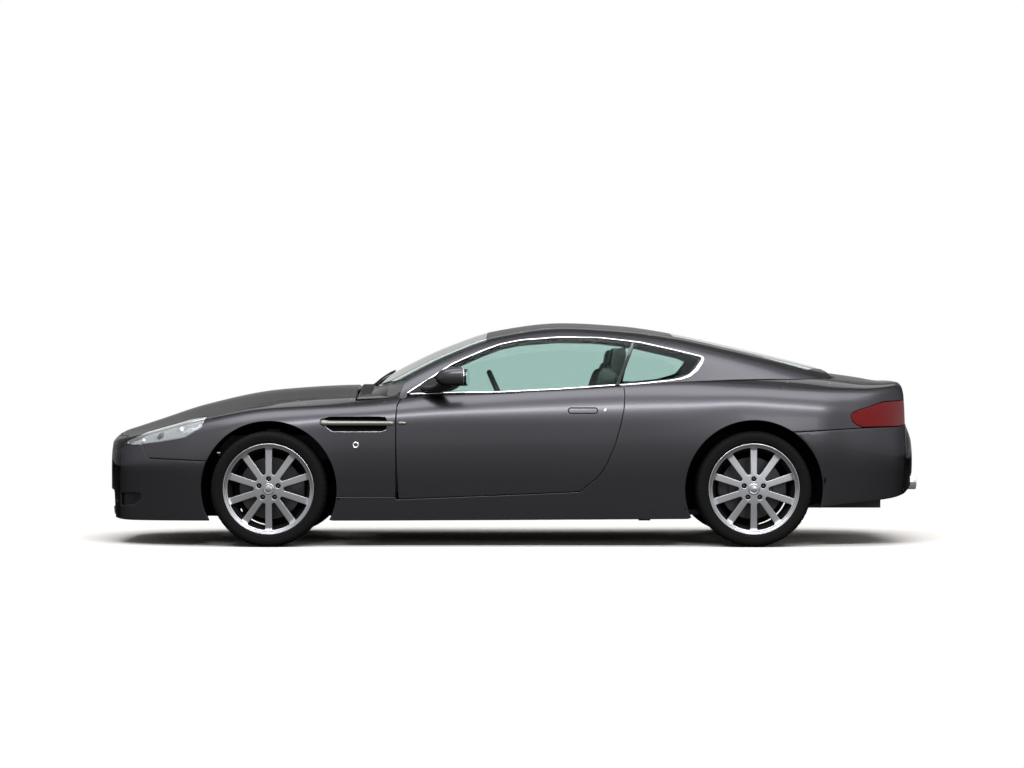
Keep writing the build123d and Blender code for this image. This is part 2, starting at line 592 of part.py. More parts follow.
DASH_HALF_WIDTH = 690
DASH_SIDE = [(CABIN_FRONT, 640), (CABIN_FRONT, 880), (600, 898), (470, 880), (395, 835), (400, 760), (450, 640)]
with BuildPart() as dashboard:
    add(side_prism(DASH_SIDE, -DASH_HALF_WIDTH, DASH_HALF_WIDTH))
    add(cabin_space.part, mode=Mode.INTERSECT)
    add(side_prism([(450, 650), (400, 720), (240, 640), (150, 580), (-560, 600), (-640, 560), (-640, TUNNEL_TOP),
                    (CABIN_FRONT, TUNNEL_TOP), (CABIN_FRONT, 650)], -115, 115))
dashboard.part.label = "dashboard"

SEAT_SIDE = [
    (30, FLOOR_TOP), (40, 380), (20, 430), (-60, 440), (-400, 395), (-470, 470), (-575, 1000), (-590, 1120),
    (-640, 1130), (-665, 1105), (-640, 960), (-560, 420), (-540, FLOOR_TOP),
]
SEAT_INNER_Y = 165
SEAT_WIDTH = 445
REAR_SEAT_SIDE = [
    (-760, FLOOR_TOP), (-760, 400), (-800, 430), (-1090, 400), (-1160, 870), (-1200, 920), (CABIN_REAR, 900),
    (CABIN_REAR, 420), (FLOOR_REAR, 420), (FLOOR_REAR, FLOOR_TOP),
]
with BuildPart() as seats:
    for outline, inner_y, outer_y in (
        (SEAT_SIDE, SEAT_INNER_Y, SEAT_INNER_Y + SEAT_WIDTH),
        (REAR_SEAT_SIDE, TUNNEL_HALF_WIDTH + 5, 530),
    ):
        add(side_prism(outline, inner_y, outer_y))
        add(side_prism(outline, -outer_y, -inner_y))
seats.part.label = "seats"

STEERING_WHEEL_CENTRE = (56, 370, 832)
STEERING_WHEEL_RADIUS = 172
STEERING_RIM_RADIUS = 15
STEERING_RAKE = 24
steering_plane = Plane(
    origin=STEERING_WHEEL_CENTRE,
    x_dir=(0, 1, 0),
    z_dir=(-math.cos(math.radians(STEERING_RAKE)), 0, math.sin(math.radians(STEERING_RAKE))),
)
with BuildPart() as steering_wheel:
    with Locations(steering_plane):
        Torus(STEERING_WHEEL_RADIUS, STEERING_RIM_RADIUS)
        Cylinder(48, 44)
        Box(2 * STEERING_WHEEL_RADIUS, 34, 16)
    with Locations(steering_plane.offset(-220)):
        Cylinder(34, 400)
    add(side_prism(grown(DASH_SIDE, SEAT_CLEARANCE), -DASH_HALF_WIDTH, DASH_HALF_WIDTH), mode=Mode.SUBTRACT)
steering_wheel.part.label = "steering_wheel"

# ---------------------------------------------------------------- engine, driveline, exhaust
CROSS_MEMBER_TOP = 210
CROSS_MEMBER_BOTTOM = 150
with BuildPart() as engine:
    with BuildSketch(Plane.YZ.offset(1000)):
        with BuildLine():
            Polyline((-130, CROSS_MEMBER_TOP), (130, CROSS_MEMBER_TOP), (170, 330), (330, 480), (330, 620), (250, 690),
                     (-250, 690), (-330, 620), (-330, 480), (-170, 330), close=True)
        make_face()
    extrude(amount=700)
engine.part.label = "engine"



UPRIGHT_Y = 700  # the steering axis of a front upright
REAR_UPRIGHT_Y = 665
BALL_JOINT_RISE = 150  # above and below the wheel centre
KNUCKLE_END = 24  # how far inside the ball joints a front knuckle's ends stand
KINGPIN_RADIUS = 7
KINGPIN_LUG_RADIUS = 11
KINGPIN_DEPTH = 26
HUB_RADIUS = 42
DISC_RADIUS = 176
DISC_WALL = 30
DISC_BELL_RADIUS = 82
DISC_INNER_Y_FRONT = 716
DISC_INNER_Y_REAR = 704
DISC_CLEARANCE = 6
HUB_FACE_FRONT = TRACK_FRONT / 2 - 18  # where a wheel bolts to its bell
HUB_FACE_REAR = TRACK_REAR / 2 - 18


def caliper_at(axle_x, side, disc_y, ahead):
    """A brake caliper astride the disc's rim, on the side of the axle given by ahead (1 or -1), with its bracket."""
    ring = side * disc_y
    with BuildPart() as caliper:
        add(block(axle_x + ahead * 120, axle_x + ahead * 194, ring - side * 16, ring + side * (DISC_WALL + 18),
                  TYRE_RADIUS - 60, TYRE_RADIUS + 60))
        with Locations(Location((axle_x, ring + side * DISC_WALL / 2, TYRE_RADIUS), (90, 0, 0))):
            Cylinder(DISC_RADIUS + DISC_CLEARANCE, DISC_WALL + 2 * DISC_CLEARANCE, mode=Mode.SUBTRACT)
        add(block(axle_x, axle_x + ahead * 150, ring - side * 16, ring - side * DISC_CLEARANCE, TYRE_RADIUS - 45,
                  TYRE_RADIUS + 45))
        with Locations(Location((axle_x, ring, TYRE_RADIUS), (90, 0, 0))):
            Cylinder(36, 60, mode=Mode.SUBTRACT)
    return caliper.part


def cross_rod(start, end, radius):
    """A round bar between two points."""
    axis = Vector(*end) - Vector(*start)
    with BuildPart() as rod:
        with BuildSketch(Plane(origin=start, z_dir=axis)):
            Circle(radius)
        extrude(amount=axis.length)
    return rod.part


PIPE_RADIUS = 22
PIPE_Y = 75
GEARBOX_REAR = 300
PROPSHAFT_Z = 236
DIFFERENTIAL_FRONT = -1310
SILENCER = (-1720, -2140, 110, 490, 205, 345)
with BuildPart() as driveline:
    with BuildSketch(Plane.YZ.offset(1000)):
        with Locations((0, 300)):
            Circle(90)
    with BuildSketch(Plane.YZ.offset(GEARBOX_REAR)):
        with Locations((0, 290)):
            Circle(55)
    loft()
    add(cross_rod((GEARBOX_REAR + 20, 0, 290), (-620, 0, PROPSHAFT_Z), 25))
    add(cross_rod((-605, 0, PROPSHAFT_Z), (DIFFERENTIAL_FRONT, 0, PROPSHAFT_Z), 25))
driveline.part.label = "driveline"

with BuildPart() as exhaust:
    for side in (1, -1):
        route = [
            (1000, 118, 250), (900, 118, 250), (820, 96, 235), (-560, 90, 235), (-640, PIPE_Y, 225),
            (-1150, PIPE_Y, 225), (-1236, 98, 232), (-1330, 215, 240), (SILENCER[0] - 20, 215, 260),
        ]
        for start, end in zip(route, route[1:]):
            add(cross_rod((start[0], side * start[1], start[2]), (end[0], side * end[1], end[2]), PIPE_RADIUS))
            if end is not route[-1]:
                with Locations((end[0], side * end[1], end[2])):
                    Sphere(PIPE_RADIUS)
        x_from, x_to, y_from, y_to, z_from, z_to = SILENCER
        add(block(x_from, x_to, side * y_from, side * y_to, z_from, z_to))
        for x in (x_from - 60, x_to + 60):
            add(block(x - 15, x + 15, side * 300 - 15, side * 300 + 15, z_to, BOOT_FLOOR - BOOT_FLOOR_WALL))
        for pipe_y in TAILPIPE_YS:
            add(cross_rod((x_to + 5, side * pipe_y, TAILPIPE_Z - 30), (-2190, side * pipe_y, TAILPIPE_Z - 6), 20))
            with Locations(Location((-2267, side * pipe_y, TAILPIPE_Z), (0, 90, 0))):
                Cylinder(TAILPIPE_RADIUS, 170)
                with Locations((0, 0, -50)):
                    Cylinder(TAILPIPE_RADIUS - 3, 100, mode=Mode.SUBTRACT)
exhaust.part.label = "exhaust"

# ---------------------------------------------------------------- suspension
ARM_RADIUS = 13
with BuildPart() as front_suspension:
    add(block(FRONT_AXLE_X - 190, FRONT_AXLE_X + 190, -BAY_HALF_WIDTH, BAY_HALF_WIDTH, CROSS_MEMBER_BOTTOM,
              CROSS_MEMBER_TOP))
    for side in (1, -1):
        low = TYRE_RADIUS - BALL_JOINT_RISE
        high = TYRE_RADIUS + BALL_JOINT_RISE
        for ball_z, pin_y in ((low, BAY_HALF_WIDTH - 20), (high, WELL_INNER_FRONT + 14)):
            ball = (FRONT_AXLE_X, side * (UPRIGHT_Y - 40), ball_z)
            for reach in (-130, 130):
                add(cross_rod((FRONT_AXLE_X + reach, side * pin_y, ball_z), ball, ARM_RADIUS))
                if ball_z == high:
                    add(block(FRONT_AXLE_X + reach - 20, FRONT_AXLE_X + reach + 20, side * WELL_INNER_FRONT,
                              side * (WELL_INNER_FRONT + 30), ball_z - 20, ball_z + 20))
            with Locations((ball[0], side * (UPRIGHT_Y - 35), ball_z)):
                Box(22, 70, 24)
            inward = 1 if ball_z == low else -1
            with Locations((ball[0], side * UPRIGHT_Y, ball_z)):
                Cylinder(KINGPIN_LUG_RADIUS, 24)
            with Locations((ball[0], side * UPRIGHT_Y, ball_z + inward * (12 + KINGPIN_DEPTH / 2))):
                Cylinder(KINGPIN_RADIUS, KINGPIN_DEPTH)
        add(cross_rod((FRONT_AXLE_X, side * 600, low), (FRONT_AXLE_X, side * 530, 640), 24))
        add(block(FRONT_AXLE_X - 40, FRONT_AXLE_X + 40, side * WELL_INNER_FRONT, side * 560, 620, 660))
        add(cross_rod((FRONT_AXLE_X + 150, side * (BAY_HALF_WIDTH - 30), 180),
                      (FRONT_AXLE_X + 118, side * 596, 245), 9))
front_suspension.part.label = "front_suspension"

with BuildPart() as rear_suspension:
    add(block(REAR_AXLE_X - 70, REAR_AXLE_X + 70, -450, 450, CROSS_MEMBER_BOTTOM, CROSS_MEMBER_TOP))
    add(block(DIFFERENTIAL_FRONT, -1500, -120, 120, CROSS_MEMBER_TOP - 5, 430))
    for side in (1, -1):
        for x in (REAR_AXLE_X - 60, REAR_AXLE_X + 20):
            add(block(x, x + 40, side * 390, side * 440, CROSS_MEMBER_TOP - 5, AXLE_BAY[2]))
        add(cross_rod((REAR_AXLE_X, side * 100, TYRE_RADIUS), (REAR_AXLE_X, side * 664, TYRE_RADIUS), 15))
        low = TYRE_RADIUS - BALL_JOINT_RISE
        high = TYRE_RADIUS + BALL_JOINT_RISE
        for ball_z, pin_y in ((low, 440), (high, 560)):
            ball = (REAR_AXLE_X, side * REAR_UPRIGHT_Y, ball_z)
            for reach in (-100, 100):
                add(cross_rod((REAR_AXLE_X + reach * (0.6 if ball_z == low else 1), side * pin_y, ball_z), ball, ARM_RADIUS))
        add(block(REAR_AXLE_X - 120, REAR_AXLE_X + 120, side * 545, side * 575, high - 18, AXLE_BAY[2]))
        add(block(REAR_AXLE_X - 28, REAR_AXLE_X + 28, side * 656, side * 686, low - 16, high + 16))
        with Locations(Location((REAR_AXLE_X, side * 695, TYRE_RADIUS), (90, 0, 0))):
            Cylinder(HUB_RADIUS, 78)
        with Locations(Location((REAR_AXLE_X, side * 740, TYRE_RADIUS), (90, 0, 0))):
            Cylinder(STUB_AXLE_RADIUS - AXLE_CLEARANCE, 70)
        add(caliper_at(REAR_AXLE_X, side, DISC_INNER_Y_REAR, -1))
rear_suspension.part.label = "rear_suspension"

with BuildPart() as knuckle_left:
    low = TYRE_RADIUS - BALL_JOINT_RISE
    high = TYRE_RADIUS + BALL_JOINT_RISE
    add(block(FRONT_AXLE_X - 28, FRONT_AXLE_X + 28, UPRIGHT_Y - 22, UPRIGHT_Y + 11, low + KNUCKLE_END, high - KNUCKLE_END))
    for end_z in (low + KNUCKLE_END, high - KNUCKLE_END):
        with Locations((FRONT_AXLE_X, UPRIGHT_Y, end_z)):
            Cylinder(KINGPIN_RADIUS + AXLE_CLEARANCE, 2 * KINGPIN_DEPTH, mode=Mode.SUBTRACT)
    with Locations(Location((FRONT_AXLE_X, 706, TYRE_RADIUS), (90, 0, 0))):
        Cylinder(HUB_RADIUS, 84)
    with Locations(Location((FRONT_AXLE_X, 742, TYRE_RADIUS), (90, 0, 0))):
        Cylinder(STUB_AXLE_RADIUS - AXLE_CLEARANCE, 78)
    add(block(FRONT_AXLE_X, FRONT_AXLE_X + 130, UPRIGHT_Y - 18, UPRIGHT_Y, 250, 274))
    add(caliper_at(FRONT_AXLE_X, 1, DISC_INNER_Y_FRONT, -1))
knuckle_left.part.label = "knuckle_left"
with BuildPart() as knuckle_right:
    add(on_right(knuckle_left.part))
knuckle_right.part.label = "knuckle_right"

# ---------------------------------------------------------------- wheels
RIM_WIDTH_FRONT = 216
RIM_WIDTH_REAR = 254
BARREL_WALL = 9
BARREL_RADIUS = 222
SPOKES = 10
SPOKE_WIDTH = 40
SPOKE_DEPTH = 26
RIM_BORE = 34
BOLT_CIRCLE = 114
BOLT_HOLE_RADIUS = 12


def tyre_profile(width, rim_width):
    """Half of a tyre's section as (radius, y), outer tread centre round to the bead."""
    half, bead = width / 2, rim_width / 2 - 9
    return [
        (TYRE_RADIUS, half - 26), (TYRE_RADIUS - 6, half - 10), (TYRE_RADIUS - 24, half - 1),
        (TYRE_RADIUS - 45, half), (FLANGE_RADIUS + 6, max(half - 5, bead + 12)), (FLANGE_RADIUS + SEAT_CLEARANCE, bead + 7),
        (FLANGE_RADIUS + SEAT_CLEARANCE, bead + 0.7), (BEAD_RADIUS + SEAT_CLEARANCE, bead + 0.7),
        (BEAD_RADIUS + SEAT_CLEARANCE, bead - 15), (FLANGE_RADIUS + 4, bead - 8), (TYRE_RADIUS - 42, half - 16),
        (TYRE_RADIUS - 16, half - 30),
    ]


def tyre_at(axle_x, wheel_y, width, rim_width):
    """A hollow tyre, its section turned about the wheel's axle."""
    half = tyre_profile(width, rim_width)
    section = half + [(radius, -y) for radius, y in reversed(half)]
    with BuildPart() as tyre:
        with BuildSketch(Plane(origin=(axle_x, wheel_y, TYRE_RADIUS), x_dir=(1, 0, 0), z_dir=(0, 0, 1))):
            with BuildLine():
                Polyline(*section, close=True)
            make_face()
        revolve(axis=Axis((axle_x, wheel_y, TYRE_RADIUS), (0, 1, 0)))
    return tyre.part


def rim_at(axle_x, wheel_y, rim_width, hub_face, side):
    """A ten-spoke wheel: barrel with flanges, straight spokes, and a hub drilled for five bolts."""
    half = rim_width / 2
    outside = [
        (FLANGE_RADIUS, half), (FLANGE_RADIUS, half - 8), (BEAD_RADIUS, half - 8), (BEAD_RADIUS, half - 32),
        (BARREL_RADIUS, half - 48), (BARREL_RADIUS, -half + 48), (BEAD_RADIUS, -half + 32),
        (BEAD_RADIUS, -half + 8), (FLANGE_RADIUS, -half + 8), (FLANGE_RADIUS, -half),
    ]
    inside = [
        (BEAD_RADIUS - BARREL_WALL, -half), (BEAD_RADIUS - BARREL_WALL, -half + 30),
        (BARREL_RADIUS - BARREL_WALL, -half + 44), (BARREL_RADIUS - BARREL_WALL, half - 44),
        (BEAD_RADIUS - BARREL_WALL, half - 28), (BEAD_RADIUS - BARREL_WALL, half),
    ]
    hub_reach = side * (hub_face) - wheel_y
    face = side * (half - 34)
    middle = Plane(origin=(axle_x, wheel_y, TYRE_RADIUS), x_dir=(1, 0, 0), z_dir=(0, 1, 0))
    with BuildPart() as rim:
        with BuildSketch(Plane(origin=(axle_x, wheel_y, TYRE_RADIUS), x_dir=(1, 0, 0), z_dir=(0, 0, 1))):
            with BuildLine():
                Polyline(*(outside + inside), close=True)
            make_face()
        revolve(axis=Axis((axle_x, wheel_y, TYRE_RADIUS), (0, 1, 0)))
        for step in range(SPOKES):
            turn = Location((axle_x, wheel_y, TYRE_RADIUS), (0, 360 / SPOKES * step, 0))
            with Locations(turn):
                with Locations((0, face, 140)):
                    Box(SPOKE_WIDTH, SPOKE_DEPTH, 180)
        with Locations(Location((axle_x, wheel_y + (hub_reach + face + side * 13) / 2, TYRE_RADIUS), (90, 0, 0))):
            Cylinder(78, abs(face + side * 13 - hub_reach))
        with Locations(Location((axle_x, wheel_y, TYRE_RADIUS), (90, 0, 0))):
            Cylinder(RIM_BORE, 2 * rim_width, mode=Mode.SUBTRACT)
            with PolarLocations(BOLT_CIRCLE / 2, 5, start_angle=90):
                Cylinder(BOLT_HOLE_RADIUS, 2 * rim_width, mode=Mode.SUBTRACT)
    return rim.part


def disc_at(axle_x, inner_y, hub_face, side):
    """A brake disc with its bell, reaching from the friction ring out to the wheel's hub."""
    ring, bell = side * inner_y, side * hub_face
    with BuildPart() as disc:
        with Locations(Location((axle_x, ring + side * DISC_WALL / 2, TYRE_RADIUS), (90, 0, 0))):
            Cylinder(DISC_RADIUS, DISC_WALL)
        with Locations(Location((axle_x, (ring + bell) / 2, TYRE_RADIUS), (90, 0, 0))):
            Cylinder(DISC_BELL_RADIUS, abs(bell - ring))
        with Locations(Location((axle_x, (ring + bell - side * 12) / 2, TYRE_RADIUS), (90, 0, 0))):
            Cylinder(HUB_RADIUS + DISC_CLEARANCE, abs(bell - ring) - 12, mode=Mode.SUBTRACT)
            Cylinder(STUB_AXLE_RADIUS, 2 * DISC_RADIUS, mode=Mode.SUBTRACT)
    return disc.part


wheel_pieces = []
for axle, axle_x, tyre_width, rim_width, track, disc_y, hub_face in (
    ("front", FRONT_AXLE_X, TYRE_WIDTH_FRONT, RIM_WIDTH_FRONT, TRACK_FRONT, DISC_INNER_Y_FRONT, HUB_FACE_FRONT),
    ("rear", REAR_AXLE_X, TYRE_WIDTH_REAR, RIM_WIDTH_REAR, TRACK_REAR, DISC_INNER_Y_REAR, HUB_FACE_REAR),
):
    for name, piece in (
        ("tyre", tyre_at(axle_x, track / 2, tyre_width, rim_width)),
        ("rim", rim_at(axle_x, track / 2, rim_width, hub_face, 1)),
        ("brake_disc", disc_at(axle_x, disc_y, hub_face, 1)),
    ):
        for side, twin in (("left", piece), ("right", on_right(piece))):
            with BuildPart() as wheel_piece:
                add(twin)
            wheel_piece.part.label = f"{name}_{axle}_{side}"
            wheel_pieces.append(wheel_piece.part)

# ---------------------------------------------------------------- grille, side vents, wipers, mirrors
GRILLE_BARS = 8
GRILLE_BAR = 7
with BuildPart() as grille:
    half_width, z_from, z_to = GRILLE_OPENING
    for step in range(GRILLE_BARS):
        z = z_from + (z_to - z_from) * (step + 0.5) / GRILLE_BARS
        with BuildSketch(Plane.XY.offset(z - GRILLE_BAR / 2)):
            with BuildLine():
                ThreePointArc((2302, -half_width), (2334, 0), (2302, half_width))
                Line((2302, half_width), (2284, half_width))
                ThreePointArc((2284, half_width), (2316, 0), (2284, -half_width))
                Line((2284, -half_width), (2302, -half_width))
            make_face()
        extrude(amount=GRILLE_BAR)
    add(block(2230, 2238, -half_width, half_width, z_from, z_to))
    for y in (-220, 0, 220):
        add(block(2230, 2292, y - 5, y + 5, z_from, 555))
grille.part.label = "grille"

STRAKE = [(1031, 694), (1033, 707), (677, 711), (674, 699)]
with BuildPart() as side_vents:
    for side in (1, -1):
        add(side_prism(STRAKE, min(side * VENT_FLOOR_Y, side * 884), max(side * VENT_FLOOR_Y, side * 884)))
side_vents.part.label = "side_vents"

with BuildPart() as wipers:
    add(greenhouse_outside)
    add(
        [
            plan_prism([(800, 340), (790, 350), (690, -60), (700, -66)], 880, 1100),
            plan_prism([(806, -120), (796, -114), (640, -520), (650, -526)], 880, 1100),
        ],
        mode=Mode.INTERSECT,
    )
    add(greenhouse_touch, mode=Mode.SUBTRACT)
    add(lower_touch, mode=Mode.SUBTRACT)
wipers.part.label = "wipers"

MIRROR_CENTRE = (356, 930, 952)
with BuildPart() as mirror_left:
    with BuildSketch(Plane.YZ.offset(MIRROR_CENTRE[0] - 62)):
        with Locations((MIRROR_CENTRE[1], MIRROR_CENTRE[2])):
            RectangleRounded(176, 118, 42)
    with BuildSketch(Plane.YZ.offset(MIRROR_CENTRE[0] + 10)):
        with Locations((MIRROR_CENTRE[1], MIRROR_CENTRE[2])):
            RectangleRounded(168, 112, 46)
    with BuildSketch(Plane.YZ.offset(MIRROR_CENTRE[0] + 72)):
        with Locations((MIRROR_CENTRE[1] - 8, MIRROR_CENTRE[2] - 4)):
            RectangleRounded(110, 66, 30)
    loft()
    add(block(MIRROR_CENTRE[0] - 5, MIRROR_CENTRE[0] + 55, 760, 880, 862, 916))
    add(greenhouse_touch, mode=Mode.SUBTRACT)
    add(lower_touch, mode=Mode.SUBTRACT)
mirror_left.part.label = "mirror_left"

# ---------------------------------------------------------------- right-hand twins and export
with BuildPart() as wing_right:
    add(on_right(wing_left.part))
wing_right.part.label = "wing_right"
with BuildPart() as door_right:
    add(on_right(door_left.part))
door_right.part.label = "door_right"
with BuildPart() as door_glass_right:
    add(on_right(door_glass_left.part))
door_glass_right.part.label = "door_glass_right"
with BuildPart() as mirror_right:
    add(on_right(mirror_left.part))
mirror_right.part.label = "mirror_right"

pieces = [
    bodyshell.part, roof.part, bonnet.part, boot_lid.part, front_bumper.part, rear_bumper.part, wing_left.part,
    wing_right.part, door_left.part, door_right.part, door_glass_left.part, door_glass_right.part, mirror_left.part,
    mirror_right.part, windscreen.part, rear_window.part, quarter_glass.part, headlamps.part, tail_lamps.part,
    grille.part, side_vents.part, wipers.part, floor.part, dashboard.part, seats.part, steering_wheel.part,
    engine.part, driveline.part, exhaust.part, front_suspension.part, rear_suspension.part, knuckle_left.part,
    knuckle_right.part,
] + wheel_pieces
os.makedirs("parts", exist_ok=True)
for piece in pieces:
    export_step(piece, f"parts/{piece.label}.step")
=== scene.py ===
"""Looks for the two-door coupe: paint, glass, lamps, wheels, cabin and trim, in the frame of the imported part.

Metres in the scene; the section tables below are in millimetres. +X forward, +Y left, +Z up.
"""

import math

import bpy
import numpy as np
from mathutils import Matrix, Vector
from mathutils.geometry import delaunay_2d_cdt


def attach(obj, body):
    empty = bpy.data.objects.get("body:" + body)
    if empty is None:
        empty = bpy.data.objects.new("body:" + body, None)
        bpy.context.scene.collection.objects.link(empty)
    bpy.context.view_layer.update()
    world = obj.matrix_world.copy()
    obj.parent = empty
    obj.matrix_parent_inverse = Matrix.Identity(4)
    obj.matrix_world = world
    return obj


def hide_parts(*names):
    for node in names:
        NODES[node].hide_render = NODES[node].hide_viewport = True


for spare in [o for o in bpy.data.objects if o.type in ("MESH", "CAMERA", "LIGHT")]:
    bpy.data.objects.remove(spare)
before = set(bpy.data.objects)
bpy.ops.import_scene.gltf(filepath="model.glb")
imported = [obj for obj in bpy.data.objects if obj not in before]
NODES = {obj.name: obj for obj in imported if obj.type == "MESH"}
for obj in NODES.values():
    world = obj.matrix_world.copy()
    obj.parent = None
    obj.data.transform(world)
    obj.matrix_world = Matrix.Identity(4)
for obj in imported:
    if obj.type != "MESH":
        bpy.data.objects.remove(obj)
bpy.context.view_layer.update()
MM = 0.001
AXLE_Z = 0.328  # height of the wheel centres
FRONT_X, REAR_X = 1.368, -1.372  # places of the axles

# ------------------------------------------------------------------ section tables, millimetres
# x, crown, then shoulder, flank, waist and sill as y, z
LOWER_ROWS = [
    (2350, 584, 80, 578, 160, 556, 180, 440, 160, 245),
    (2332, 616, 170, 603, 315, 575, 345, 450, 320, 175),
    (2290, 645, 260, 618, 455, 590, 495, 460, 460, 148),
    (2210, 672, 350, 633, 575, 607, 625, 480, 580, 140),
    (2060, 722, 450, 668, 690, 640, 752, 500, 700, 142),
    (1800, 806, 570, 735, 800, 700, 862, 510, 815, 146),
    (1368, 891, 660, 812, 888, 765, 926, 520, 876, 148),
    (900, 918, 720, 835, 890, 772, 905, 500, 862, 148),
    (320, 922, 790, 878, 895, 775, 905, 500, 860, 150),
    (-400, 935, 805, 915, 905, 785, 912, 500, 866, 154),
    (-950, 955, 785, 948, 915, 815, 928, 540, 880, 158),
    (-1372, 985, 730, 955, 908, 860, 946, 585, 896, 165),
    (-1750, 1003, 640, 945, 885, 858, 918, 595, 870, 222),
    (-1900, 985, 590, 937, 838, 866, 888, 572, 842, 242),
    (-2060, 962, 540, 928, 768, 876, 846, 552, 798, 258),
    (-2180, 942, 505, 930, 668, 892, 774, 530, 724, 272),
    (-2240, 943, 455, 934, 606, 900, 702, 508, 650, 286),
    (-2260, 940, 430, 932, 585, 898, 672, 500, 620, 294),
    (-2268, 800, 395, 790, 575, 700, 652, 498, 606, 300),
    (-2300, 680, 370, 674, 520, 645, 580, 485, 530, 325),
    (-2335, 610, 270, 606, 370, 585, 410, 480, 375, 370),
    (-2350, 540, 130, 537, 190, 525, 210, 480, 190, 430),
]
GREENHOUSE_ROWS = [
    (1010, 800, 560, 770, 680, 730, 740, 680),
    (820, 917, 580, 872, 705, 820, 765, 740),
    (600, 1042, 600, 985, 725, 925, 800, 800),
    (353, 1154, 570, 1100, 690, 1025, 812, 820),
    (100, 1236, 530, 1190, 655, 1110, 830, 830),
    (-300, 1284, 500, 1245, 630, 1165, 838, 835),
    (-650, 1266, 500, 1228, 635, 1150, 840, 845),
    (-950, 1222, 505, 1190, 640, 1115, 825, 855),
    (-1250, 1158, 500, 1128, 640, 1055, 795, 870),
    (-1600, 1076, 460, 1050, 600, 985, 730, 870),
    (-1840, 1013, 420, 990, 550, 935, 660, 860),
    (-2000, 955, 390, 930, 500, 880, 590, 820),
]
FILLET_SHARE = 0.47


# ------------------------------------------------------------------ smooth skins from the tables
def smooth(values, sigma, axis=0):
    """Gaussian average along one axis, the ends held by odd reflection so that end points stay put."""
    if sigma <= 0:
        return values
    reach = int(3 * sigma) + 1
    kernel = np.exp(-0.5 * (np.arange(-reach, reach + 1) / sigma) ** 2)
    kernel /= kernel.sum()
    v = np.moveaxis(values, axis, 0)
    low = 2 * v[0] - v[reach:0:-1]
    high = 2 * v[-1] - v[-2:-reach - 2:-1]
    padded = np.concatenate([low, v, high])
    out = sum(k * padded[i:i + len(v)] for i, k in enumerate(kernel))
    return np.moveaxis(out, 0, axis)


def monotone_curve(keys, values, at):
    """Cubic through rows of values whose slopes are limited so that it never overshoots a row."""
    keys, values = np.asarray(keys, float), np.asarray(values, float)
    h = np.diff(keys)[:, None]
    delta = np.diff(values, axis=0) / h
    slope = np.zeros_like(values)
    w1, w2 = 2 * h[1:] + h[:-1], h[1:] + 2 * h[:-1]
    same = delta[:-1] * delta[1:] > 0
    with np.errstate(divide="ignore", invalid="ignore"):
        mean = (w1 + w2) / (w1 / delta[:-1] + w2 / delta[1:])
    slope[1:-1] = np.where(same, mean, 0)
    slope[0], slope[-1] = delta[0], delta[-1]
    i = np.clip(np.searchsorted(keys, at, "right") - 1, 0, len(keys) - 2)
    t = ((at - keys[i]) / h[i, 0])[:, None]
    return (
        values[i] * (1 + 2 * t) * (1 - t) ** 2 + slope[i] * h[i] * t * (1 - t) ** 2
        + values[i + 1] * t * t * (3 - 2 * t) + slope[i + 1] * h[i] * t * t * (t - 1)
    )


def section_curve(corners, count):
    """Points evenly spaced along sections given by control corners (rows, corners, 2), crown to sill.

    Each inner corner is rounded by the circle whose tangents take FILLET_SHARE of the shorter run beside it.
    """
    rows = corners.shape[0]
    mirrored = corners[:, 1] * np.array([-1, 1])
    polygon = np.concatenate([mirrored[:, None], corners], axis=1)
    pieces = []
    for k in range(1, polygon.shape[1] - 1):
        a, b, c = polygon[:, k - 1], polygon[:, k], polygon[:, k + 1]
        run_a = np.linalg.norm(a - b, axis=1, keepdims=True)
        run_c = np.linalg.norm(c - b, axis=1, keepdims=True)
        cut = FILLET_SHARE * np.minimum(run_a, run_c)
        p, q = b + (a - b) / run_a * cut, b + (c - b) / run_c * cut
        into, out = (b - a) / run_a, (c - b) / run_c
        turn = np.arccos(np.clip((into * out).sum(1, keepdims=True), -1, 1))
        radius = cut / np.maximum(np.tan(turn / 2), 1e-9)
        sign = np.sign(into[:, :1] * out[:, 1:] - into[:, 1:] * out[:, :1])
        normal = np.concatenate([-into[:, 1:], into[:, :1]], axis=1) * sign
        centre = p + normal * radius
        for share in np.linspace(0, 1, 9):
            angle = sign * turn * share
            cos, sin = np.cos(angle), np.sin(angle)
            arm = p - centre
            swung = [cos * arm[:, :1] - sin * arm[:, 1:], sin * arm[:, :1] + cos * arm[:, 1:]]
            pieces.append(np.where(turn > 1e-4, centre + np.concatenate(swung, axis=1), p + (q - p) * share))
    pieces.append(polygon[:, -1])
    points = np.stack(pieces, axis=1)
    result = np.zeros((rows, count, 2))
    for row in range(rows):
        line = points[row]
        line = line[np.argmax(line[:, 0] >= -1e-9):]
        line = np.vstack([[0, line[0, 1]], line])
        length = np.concatenate([[0], np.cumsum(np.linalg.norm(np.diff(line, axis=0), axis=1))])
        at = np.linspace(0, length[-1], count)
        result[row] = np.stack([np.interp(at, length, line[:, 0]), np.interp(at, length, line[:, 1])], axis=1)
    return result


